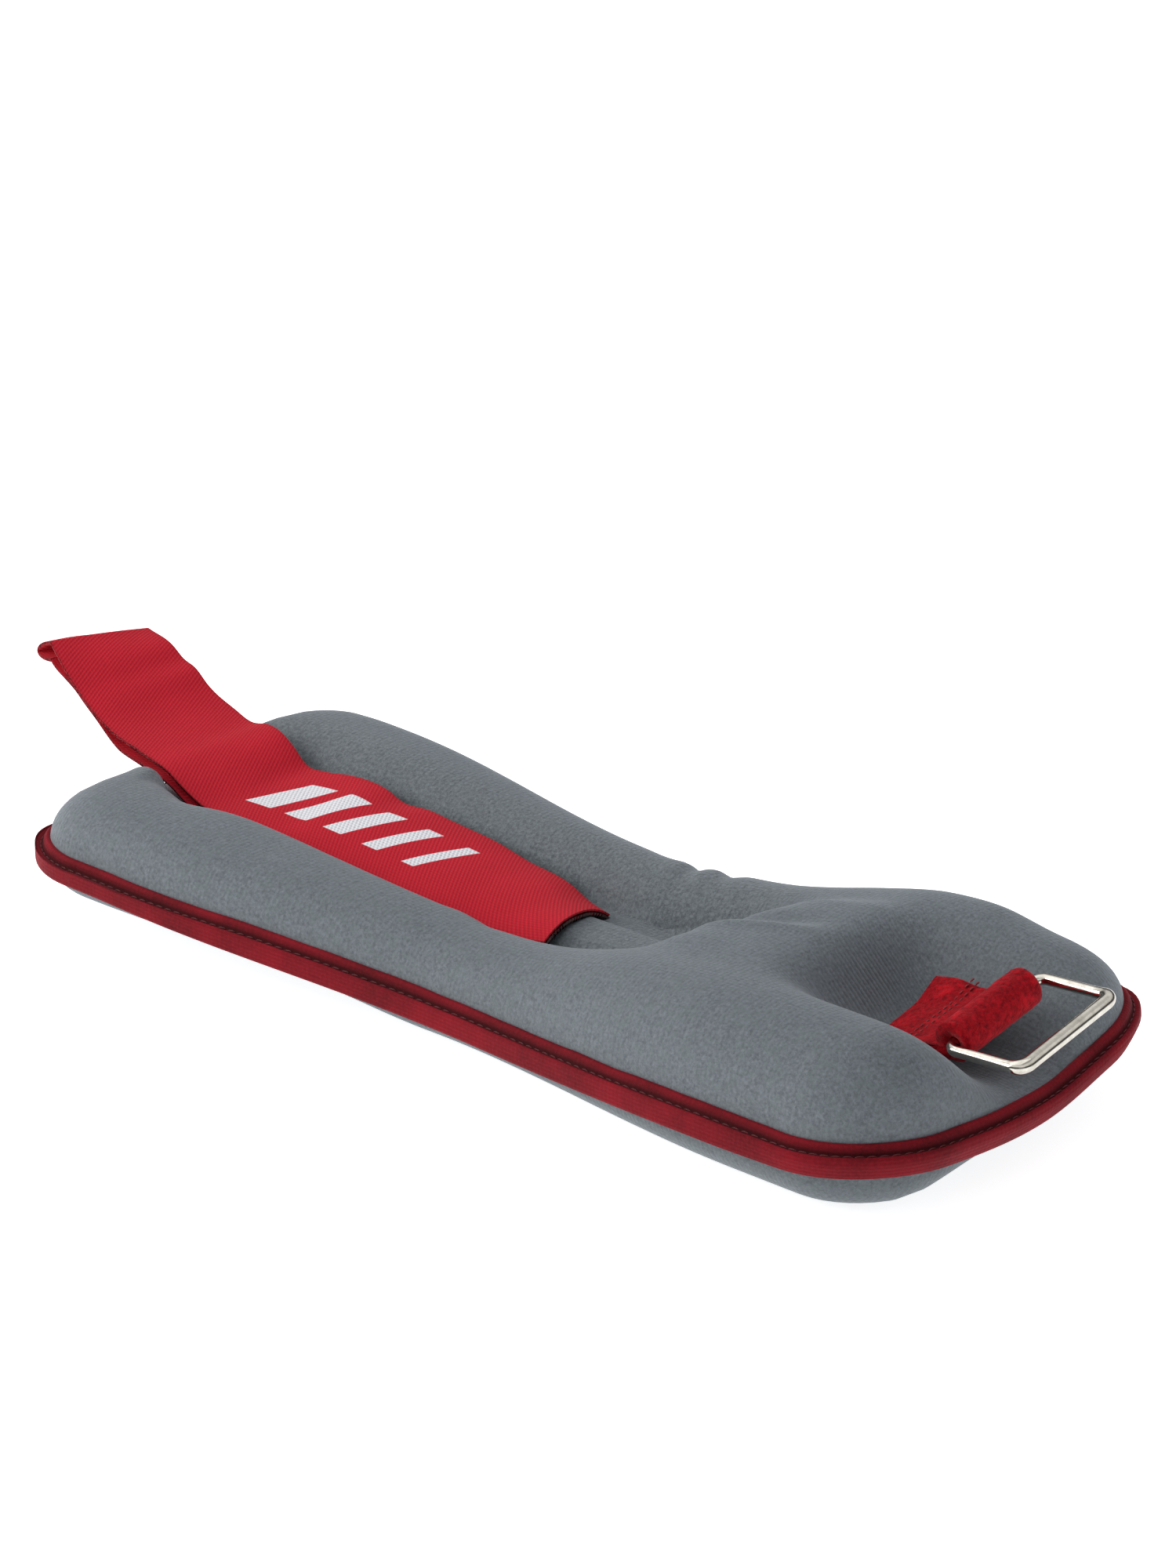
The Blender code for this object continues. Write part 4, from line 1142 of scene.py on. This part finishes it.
def strap_rows(s, drop, crown):
    """Rows across the strap. s > 0 is the share of the free part, s <= 0 is x on the pad less AIR_X."""
    s = np.asarray(s, float)
    pad = s <= 0
    xn = np.where(pad, AIR_X - s, AIR_X + (NEAR_EDGE[0, 0] - AIR_X) * s)
    xf = np.where(pad, AIR_X - s, AIR_X + (FAR_EDGE[0, 0] - AIR_X) * s)
    tip = smooth((AIR_X - s - (TIP_X - 30.0)) / 30.0) * pad
    xn = xn + 2.0 * tip
    xf = xf - 3.2 * tip
    A = np.stack([xn, hermite(NEAR_EDGE, xn, 1), hermite(NEAR_EDGE, xn, 2)], -1)
    B = np.stack([xf, hermite(FAR_EDGE, xf, 1), hermite(FAR_EDGE, xf, 2)], -1)
    P = A[:, None] * (1 - vv[..., None]) / 2 + B[:, None] * (1 + vv[..., None]) / 2
    xm = (xn + xf) / 2
    want = ridge_top(xm) + crown - (A[:, 2] + B[:, 2]) / 2
    hump = np.where(pad, np.maximum(want, 0.3), 0.3)
    k = smooth(s / 0.22) * ~pad
    hump = hump * (1 - k) + 0.25 * k + np.where(pad, 0.0, (1 - k)) * np.maximum(want, 0.0) * 0
    round_ = 1.0 - np.abs(vv) ** 2.3
    P[..., 2] = P[..., 2] + hump[:, None] * round_ - np.asarray(drop)[:, None]
    # small waves in the free edges
    P[..., 2] += 0.18 * ripple(P[..., 0], P[..., 1], 31, 24.0)
    return P


def arc_u(P):
    m = P[:, P.shape[1] // 2]
    return np.concatenate([[0], np.cumsum(np.linalg.norm(np.diff(m, axis=0), axis=1))])


def strap_piece(name, P, U, mat, flip_down=False, thick=STRAP_T):
    N = grid_normals(P)
    want = -1.0 if flip_down else 1.0
    if N.reshape(-1, 3).mean(0)[2] * want < 0:
        N = -N
    ob = sheet(name, P, N, thick, [mat])
    V = np.repeat(vv * STRAP_W / 2, len(P), 0)
    UU = np.repeat(U[:, None], P.shape[1], 1)
    put_strip(ob, UU, V)
    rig.slot(ob, "strap_webbing")
    return ob


def put_strip(ob, U, V):
    a = ob.data.attributes.new("strip", "FLOAT_VECTOR", "POINT")
    t = np.stack([U, V, 0 * U], -1).reshape(-1, 3) * MM
    back = t - (0.0, 0.0, MM)               # the print is on the outer face only
    a.data.foreach_set("vector", np.vstack([t, back]).astype(np.float32).ravel())


NV = 33
vv = np.linspace(-1, 1, NV)[None, :]
TOP_CROWN = 3.1

# top layer: free part, then the run over the pad down to the free end
s_air = np.linspace(1.0, 0.0, 62)[:-1]
x_run = np.linspace(AIR_X, CENTRES[1], 14)
Pt = strap_rows(np.concatenate([s_air, AIR_X - x_run]), np.zeros(len(s_air) + len(x_run)), TOP_CROWN)
u = arc_u(Pt)
U = u - u[-1] + CENTRES[1]
top_1 = strap_piece("strap_over_pad_1", Pt, U, STRAP)
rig.blend(top_1, "strap_bridge", "strap_run_2", (CENTRES[0] * MM, 0, 0), (CENTRES[1] * MM, 0, 0))
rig.replaces(top_1, "strap_bridge", "strap_run_2")
for j, (x0, x1, a, b, node) in enumerate(((CENTRES[1], CENTRES[2], "strap_run_2", "strap_run_3", "strap_run_3"),
                                          (CENTRES[2], TIP_X, "strap_run_3", "strap_tip", "strap_tip"))):
    xr = np.linspace(x0, x1, 27)
    P = strap_rows(AIR_X - xr, 0 * xr, TOP_CROWN)
    ob = strap_piece("strap_over_pad_%d" % (j + 2), P, xr, STRAP)
    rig.blend(ob, a, b, (CENTRES[1 + j] * MM, 0, 0), (CENTRES[2 + j] * MM, 0, 0))
    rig.replaces(ob, node)

# lower layer: from the fold back to where it is sewn down
s_low = np.concatenate([np.linspace(1.0, 0.0, 56), np.linspace(0.0, -3.5, 4)[1:]])
gap = 2.3 + 2.4 * smooth((0.73 - s_low) / 0.19) - 3.2 * smooth((0.15 - s_low) / 0.15)
gap = gap + 3.9 * smooth((s_low - 0.81) / 0.19)
gap_v = gap[:, None] * (1.0 - 0.12 * vv)
Pl = strap_rows(s_low, np.zeros(len(s_low)), TOP_CROWN)
Pl[..., 2] -= gap_v
Pl[..., 0] += 1.0 * smooth(s_low / 0.2)[:, None] * (1 - smooth((s_low - 0.9) / 0.1))[:, None]
u = arc_u(Pl)
low = strap_piece("strap_sewn_part", Pl, -u - 260.0, STRAP_PLAIN, flip_down=True)
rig.blend(low, "cuff_strap_end", "cuff_2", (CENTRES[0] * MM, 0, 0), (CENTRES[1] * MM, 0, 0))
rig.replaces(low, "strap_root")

# the fold: a plump half turn joining both layers
top_row, low_row = Pt[0], Pl[0]
mid = (top_row + low_row) / 2
rad = (top_row - low_row) / 2
away = Pt[0] - Pt[2]
away[:, 2] = 0.0
away /= np.linalg.norm(away, axis=1, keepdims=True)
away[:, 2] = -0.30 * smooth((-vv[0] - 0.1) / 0.9)
plump = 1.10 + 2.35 * smooth((-vv[0] - 0.1) / 0.9)
ph = np.linspace(math.pi / 2, -math.pi / 2, 17)
lenr = np.linalg.norm(rad, axis=1, keepdims=True)
Pf = (mid[None] + rad[None] * np.sin(ph)[:, None, None]
      + away[None] * (np.cos(ph)[:, None, None] * lenr[None] * plump[None, :, None]))
Nf = np.cross(np.gradient(Pf, axis=0), np.gradient(Pf, axis=1))
Nf /= np.maximum(np.linalg.norm(Nf, axis=-1, keepdims=True), 1e-9)
if np.einsum("ijk,ijk->", Nf[8:9], Pf[8:9] - mid[None]) < 0:
    Nf = -Nf
fold_ob = sheet("strap_fold", Pf, Nf, STRAP_T, [STRAP_PLAIN])
put_strip(fold_ob, np.repeat((U[0] - np.linspace(0, 12, 17))[:, None], NV, 1), np.repeat(vv * STRAP_W / 2, 17, 0))
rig.slot(fold_ob, "strap_webbing")
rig.blend(fold_ob, "cuff_strap_end", "strap_bridge", tuple((fold_c - (0, 0, 4.4)) * MM), tuple((fold_c + (0, 0, 0.2)) * MM))

# hook patch under the free end
for j, (x0, x1, a, b, node) in enumerate(((-70.0, CENTRES[2], "strap_run_2", "strap_run_3", "hook_patch_3"),
                                          (CENTRES[2], TIP_X + 0.3, "strap_run_3", "strap_tip", "hook_patch_tip"))):
    xr = np.linspace(x0, x1, 22)
    P = strap_rows(AIR_X - xr, 0 * xr, TOP_CROWN)
    P[..., 2] -= STRAP_T + 0.05
    N = grid_normals(P)
    if N.reshape(-1, 3).mean(0)[2] < 0:
        N = -N
    ob = sheet("hook_patch_%s" % "ab"[j], P, N, 1.3, [HOOKS])
    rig.slot(ob, "hook_tape")
    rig.blend(ob, a, b, (CENTRES[1 + j] * MM, 0, 0), (CENTRES[2 + j] * MM, 0, 0))
    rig.replaces(ob, node)

# ------------------------------------------------------------------ ring
ring_c = jpos("ring_swivel")
bar = -np.array(joints["ring_swivel"]["axis"], float)
bar /= np.linalg.norm(bar)
rise = math.radians(4.5)
out = np.array([math.cos(rise), 0, math.sin(rise)])
out = out - bar * (out @ bar)
out /= np.linalg.norm(out)
rup = np.cross(out, bar)
RW, RIN, ROUT = 3.4, 41.4, 25.0


def swept_loop(name, pts, rad, mat, nr=16, closed=True):
    pts = np.asarray(pts, float)
    n = len(pts)
    T = np.roll(pts, -1, 0) - np.roll(pts, 1, 0)
    T /= np.linalg.norm(T, axis=1, keepdims=True)
    A = np.broadcast_to(rup, T.shape)
    B = np.cross(T, A)
    B /= np.linalg.norm(B, axis=1, keepdims=True)
    a = np.linspace(0, 2 * np.pi, nr, endpoint=False)
    r = np.broadcast_to(np.asarray(rad, float), (n,))[:, None, None]
    V = (pts[:, None] + r * (np.cos(a)[None, :, None] * A[:, None] * 0.94 + np.sin(a)[None, :, None] * B[:, None]))
    F = []
    for i in range(n):
        for j in range(nr):
            i2, j2 = (i + 1) % n, (j + 1) % nr
            F.append([i * nr + j, i2 * nr + j, i2 * nr + j2, i * nr + j2])
    V = V.reshape(-1, 3)
    ob = make_mesh(name, V, F, [mat], None, {"rest": V * MM})
    bm = bmesh.new()
    bm.from_mesh(ob.data)
    bmesh.ops.recalc_face_normals(bm, faces=bm.faces)
    bm.to_mesh(ob.data)
    bm.free()
    return ob


rpts = []
hw, rr = RIN / 2, 3.4
for cx, cy, a0 in ((ROUT - rr, hw - rr, 0), (rr, hw - rr, 90), (rr, -hw + rr, 180), (ROUT - rr, -hw + rr, 270)):
    for i in range(9):
        a = math.radians(a0 + 90 * i / 8)
        rpts.append(ring_c + out * (cx + rr * math.cos(a)) + bar * (cy + rr * math.sin(a)))
dense = []
for i in range(len(rpts)):
    p, q = rpts[i], rpts[(i + 1) % len(rpts)]
    m = max(int(np.linalg.norm(q - p) / 2.5), 1)
    for t in range(m):
        dense.append(p + (q - p) * t / m)
reach = np.array([(p - ring_c) @ out for p in dense])
ring = swept_loop("ring_wire", dense, RW / 2 + 0.5 * smooth((reach - 19.5) / 5.0), NICKEL, 20)
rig.ride(ring, "ring")
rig.slot(ring, "ring_plating")
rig.replaces(ring, "ring")

# ------------------------------------------------------------------ ring tab
drop = math.radians(9.5)


def turn(v, axis, ang):
    v, axis = np.array(v, float), np.array(axis, float)
    return (v * math.cos(ang) + np.cross(axis, v) * math.sin(ang) + axis * (axis @ v) * (1 - math.cos(ang)))


tu, tn = turn(out, bar, -drop), turn(rup, bar, -drop)
TAB_W, TAB_LEN = 33.4, 29.5
TAB_R = 5.9
TAIL_Z = -4.2
prof_out, prof_in = [], []
NP_ARC, NP_TAIL = 22, 12
ARC0, ARC1 = 196.0, -118.0
for i in range(NP_ARC + 1):
    a = math.radians(ARC0 + (ARC1 - ARC0) * i / NP_ARC)
    prof_out.append((TAB_R * math.cos(a) - 0.7, TAB_R * math.sin(a)))
tail_lo = [(-3.4 - (TAB_LEN - 3.4) * i / NP_TAIL, TAIL_Z - 1.9 + 0.7 * smooth(i / 4.0)) for i in range(1, NP_TAIL + 1)]
tail_hi = [(-4.4 - (TAB_LEN - 4.4) * i / NP_TAIL, TAIL_Z + 1.5 - 0.3 * smooth(i / 4.0)) for i in range(NP_TAIL, 0, -1)]
prof_out += tail_lo + [(-TAB_LEN - 0.5, TAIL_Z)] + tail_hi
prof_out = np.array([(float(a), float(b)) for a, b in prof_out])
k = len(prof_out)
lin = np.concatenate([np.linspace(ARC0, ARC1, NP_ARC + 1), np.linspace(ARC1, ARC0 - 360, k - NP_ARC + 1)[1:-1]])
prof_in = 1.95 * np.stack([np.cos(np.radians(lin[:k])), np.sin(np.radians(lin[:k]))], 1)
stations = np.linspace(-TAB_W / 2 - 0.6, TAB_W / 2 - 1.6, 34)


def tab_points(prof, b, noise):
    s, h = prof[:, 0], prof[:, 1]
    tail = smooth((-s - 6.0) / 18.0)
    f = (b + TAB_W / 2) / TAB_W
    s2 = s * (1.0 + tail * (0.12 - 0.02 * f))
    inset = 1.8 * smooth((-s - 5.0) / 3.0) * f
    h2 = h + tail * (1.3 * (f - 0.35)) + noise * (0.25 * ripple(s * 1.0 + 40, np.full_like(s, b), 41, 7.0)
                                                  + 0.16 * ripple(s * 1.0, np.full_like(s, b) + 9, 42, 2.6))
    c = ring_c[None] + tu[None] * s2[:, None] + tn[None] * h2[:, None] + bar[None] * (b - inset)[:, None]
    return c


VO = np.stack([tab_points(prof_out, b, 1.0) for b in stations])
VI = np.stack([tab_points(prof_in, b, 0.0) for b in stations])
ns = len(stations)
verts = np.vstack([VO.reshape(-1, 3), VI.reshape(-1, 3)])
F = []
o2 = ns * k
for r in range(ns - 1):
    for j in range(k):
        j2 = (j + 1) % k
        F.append([r * k + j, (r + 1) * k + j, (r + 1) * k + j2, r * k + j2])
        F.append([o2 + r * k + j, o2 + r * k + j2, o2 + (r + 1) * k + j2, o2 + (r + 1) * k + j])
for j in range(k):
    j2 = (j + 1) % k
    F.append([j, j2, o2 + j2, o2 + j])
    r = ns - 1
    F.append([r * k + j2, r * k + j, o2 + r * k + j, o2 + r * k + j2])
tab = make_mesh("ring_tab_pile", verts, F, [TAB], None, {"rest": verts * MM})
bm = bmesh.new()
bm.from_mesh(tab.data)
bmesh.ops.recalc_face_normals(bm, faces=bm.faces)
bm.to_mesh(tab.data)
bm.free()
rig.slot(tab, "tab_webbing")
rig.replaces(tab, "ring_tab")
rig.blend(tab, "cuff_6", "cuff_ring_end", (CENTRES[5] * MM, 0, 0), (CENTRES[6] * MM, 0, 0))

# folded-back end of the tab webbing, its far corner standing up
ss = np.linspace(-6.2, -28.6, 22)[:, None]
bb = np.linspace(-TAB_W / 2 + 0.8, TAB_W / 2 - 0.8, 30)[None, :]
f = (bb + TAB_W / 2) / TAB_W
tailf = smooth((-ss - 6.0) / 18.0)
s2 = ss * (1.0 + tailf * (0.12 - 0.02 * f))
lift = TAIL_Z + 2.35 + tailf * (1.3 * (f - 0.35)) + 0.5 * np.exp(-((ss + 12.0) / 3.5) ** 2)
lift = lift + 2.6 * smooth((f - 0.62) / 0.38) * smooth((-ss - 13.0) / 10.0)
lift = lift + 0.18 * ripple(ss + 0 * bb, bb + 0 * ss, 51, 6.0)
P = (ring_c[None, None] + tu[None, None] * s2[..., None] + tn[None, None] * lift[..., None]
     + bar[None, None] * (bb - 1.8 * f + 0 * ss)[..., None])
N = grid_normals(P)
if N.reshape(-1, 3).mean(0) @ tn < 0:
    N = -N
flap = sheet("ring_tab_folded_end", P, N, 1.1, [TAB])
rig.slot(flap, "tab_webbing")
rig.replaces(flap, "ring_tab_flap")
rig.blend(flap, "cuff_6", "cuff_ring_end", (CENTRES[5] * MM, 0, 0), (CENTRES[6] * MM, 0, 0))

# bar tack across the tab
places = []
for r, srow in enumerate((-18.0, -20.0)):
    for b in np.linspace(-14.5, 14.5, 13):
        ff = (b + TAB_W / 2) / TAB_W
        tf = float(smooth((-srow - 6.0) / 18.0))
        sx = srow * (1.0 + tf * (0.08 - 0.14 * ff))
        lf = TAIL_Z + 2.45 + tf * (1.3 * (ff - 0.35)) + 2.6 * float(smooth((ff - 0.62) / 0.38)) * float(smooth((-srow - 13.0) / 10.0))
        c = ring_c + tu * sx + tn * lf + bar * (b + 0.3 * r)
        places.append((c, bar, tn))
tack = stitch_mesh("ring_tab_bar_tack", places, THREAD_RED, 2.0, 0.30)
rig.slot(tack, "tab_webbing")
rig.blend(tack, "cuff_6", "cuff_ring_end", (CENTRES[5] * MM, 0, 0), (CENTRES[6] * MM, 0, 0))

# ------------------------------------------------------------------ floor, light, camera
floor_me = bpy.data.meshes.new("studio_floor")
bm = bmesh.new()
bmesh.ops.create_grid(bm, x_segments=2, y_segments=2, size=6.0)
bm.to_mesh(floor_me)
bm.free()
floor = bpy.data.objects.new("studio_floor", floor_me)
bpy.context.scene.collection.objects.link(floor)
floor.location.z = -0.0006
fm, fnt, fp = new_mat("floor_pale")
fg = Nodes(fnt)
tc = fnt.nodes.new("ShaderNodeTexCoord")
fn = fg.noise(tc.outputs["Object"], 3.0, 2.0)
fg.put(fp.inputs["Base Color"], fg.mix(fn, (0.86, 0.86, 0.86, 1), (0.89, 0.89, 0.89, 1)))
fg.put(fp.inputs["Emission Color"], (1, 1, 1, 1))
fg.put(fp.inputs["Emission Strength"], 0.75)
fg.put(fp.inputs["Roughness"], 0.9)
fg.put(fp.inputs["Specular IOR Level"], 0.1)
floor_me.materials.append(fm)
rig.stage(floor)

# the floor stays under the lowest end when the cuff is wrapped
probes = []
for body, pts in (("cuff_strap_end", ((-0.168, 0.055, 0.008), (-0.150, 0.0, 0.006))),
                  ("cuff_ring_end", ((0.168, 0.055, 0.008), (0.150, 0.0, 0.0))),
                  ("cuff_2", ((-0.115, 0.0, 0.0),)), ("cuff_6", ((0.115, 0.0, 0.0),)),
                  ("cuff_strap_end", ((-0.160, 0.0, 0.040),)), ("cuff_ring_end", ((0.160, 0.0, 0.046),)),
                  ("cuff_2", ((-0.10, 0.0, 0.040),)), ("cuff_6", ((0.10, 0.0, 0.046),)),
                  ("cuff_strap_end", ((-0.225, 0.01, 0.055),)), ("cuff_ring_end", ((0.178, 0.0, 0.042),))):
    for p in pts:
        e = bpy.data.objects.new("floor_probe", None)
        bpy.context.scene.collection.objects.link(e)
        e.location = p
        e.empty_display_size = 0.002
        probes.append((e, body))

world = bpy.data.worlds.new("studio")
bpy.context.scene.world = world
world.use_nodes = True
wn = world.node_tree
for n in list(wn.nodes):
    wn.nodes.remove(n)
wo = wn.nodes.new("ShaderNodeOutputWorld")
bg1 = wn.nodes.new("ShaderNodeBackground")
bg2 = wn.nodes.new("ShaderNodeBackground")
mx = wn.nodes.new("ShaderNodeMixShader")
lp = wn.nodes.new("ShaderNodeLightPath")
bg1.inputs[0].default_value = (0.93, 0.96, 1.0, 1)
bg1.inputs[1].default_value = 0.53
bg2.inputs[0].default_value = (1, 1, 1, 1)
bg2.inputs[1].default_value = 1.0
wn.links.new(lp.outputs["Is Camera Ray"], mx.inputs[0])
wn.links.new(bg1.outputs[0], mx.inputs[1])
wn.links.new(bg2.outputs[0], mx.inputs[2])
# the polished wire mirrors a bright ceiling over a dark room
bg3 = wn.nodes.new("ShaderNodeBackground")
mx3 = wn.nodes.new("ShaderNodeMixShader")
wtc = wn.nodes.new("ShaderNodeTexCoord")
wsep = wn.nodes.new("ShaderNodeSeparateXYZ")
wramp = wn.nodes.new("ShaderNodeValToRGB")
wn.links.new(wtc.outputs["Generated"], wsep.inputs[0])
wn.links.new(wsep.outputs[2], wramp.inputs[0])
for k, (at, v) in enumerate(((0.0, 0.30), (0.22, 0.05), (0.36, 0.10), (0.50, 0.85), (0.75, 1.0), (0.92, 0.45))):
    stop = wramp.color_ramp.elements[k] if k < 2 else wramp.color_ramp.elements.new(at)
    stop.position = at
    stop.color = (v, v, v, 1)
wn.links.new(wramp.outputs[0], bg3.inputs[0])
bg3.inputs[1].default_value = 0.95
wn.links.new(lp.outputs["Is Glossy Ray"], mx3.inputs[0])
wn.links.new(mx.outputs[0], mx3.inputs[1])
wn.links.new(bg3.outputs[0], mx3.inputs[2])
wn.links.new(mx3.outputs[0], wo.inputs[0])


def area(name, loc, target, size, watts, color=(1, 1, 1)):
    ld = bpy.data.lights.new(name, "AREA")
    ld.shape = "RECTANGLE"
    ld.size, ld.size_y = size
    ld.energy = watts
    ld.color = color
    ob = bpy.data.objects.new(name, ld)
    bpy.context.scene.collection.objects.link(ob)
    ob.location = loc
    ob.rotation_euler = (Vector(target) - Vector(loc)).to_track_quat("-Z", "Y").to_euler()
    return ob


area("soft_top", (-0.35, -0.05, 1.5), (0, 0, 0), (1.6, 1.6), 7.0)
area("soft_left", (-1.15, -0.95, 0.70), (0, 0, 0.02), (0.9, 0.9), 13.5, (1.0, 0.99, 0.97))
area("soft_right", (1.2, -1.1, 0.7), (0, 0, 0.02), (1.0, 0.8), 0.6, (0.96, 0.98, 1.0))

az, el, dist = math.radians(41.2), math.radians(24.2), 1.426
tgt = Vector((-0.00097, 0.01098, 0.0))
cam_d = bpy.data.cameras.new("camera")
cam = bpy.data.objects.new("camera", cam_d)
bpy.context.scene.collection.objects.link(cam)
# Azimuth 0 looks along +Y, so the camera stands back along the view direction
back = Vector((math.sin(az) * math.cos(el), -math.cos(az) * math.cos(el), math.sin(el)))
cam.location = tgt + back * dist
pitch = math.atan(250.0 / 6186.0)
look = -back
right = Vector((math.cos(az), math.sin(az), 0))
up = right.cross(look).normalized()
look2 = (look * math.cos(pitch) + up * math.sin(pitch)).normalized()
up2 = right.cross(look2).normalized()
rot = Matrix((right, up2, -look2)).transposed()
roll = Matrix.Rotation(0.008, 3, "Z")
cam.rotation_euler = (rot @ roll).to_euler()
cam_d.sensor_fit = "AUTO"
cam_d.sensor_width = 36.0
cam_d.lens = 6186.0 / 2000.0 * 36.0
cam_d.clip_end = 30.0
bpy.context.scene.camera = cam
bpy.context.scene.view_settings.view_transform = "Standard"

for e, body in probes:
    mw = e.matrix_world.copy()
    bpy.context.view_layer.update()
    parent = frame["bodies"][body]
    e.parent = parent
    e.matrix_parent_inverse = parent.matrix_world.inverted()
drv = floor.driver_add("location", 2).driver
drv.type = "MIN"
var = drv.variables.new()
var.name = "ground"
var.type = "SINGLE_PROP"
bpy.context.scene["ground_level"] = -0.0006
var.targets[0].id_type = "SCENE"
var.targets[0].id = bpy.context.scene
var.targets[0].data_path = '["ground_level"]'
for n_, (e, body) in enumerate(probes):
    v_ = drv.variables.new()
    v_.name = "p%d" % n_
    v_.type = "TRANSFORMS"
    v_.targets[0].id = e
    v_.targets[0].transform_type = "LOC_Z"
    v_.targets[0].transform_space = "WORLD_SPACE"

vis_lo, vis_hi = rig.bounds()
with open("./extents.json", "w") as fh:
    json.dump({"cad": [list(map(float, cad_lo)), list(map(float, cad_hi))],
               "visual": [list(map(float, vis_lo)), list(map(float, vis_hi))]}, fh)
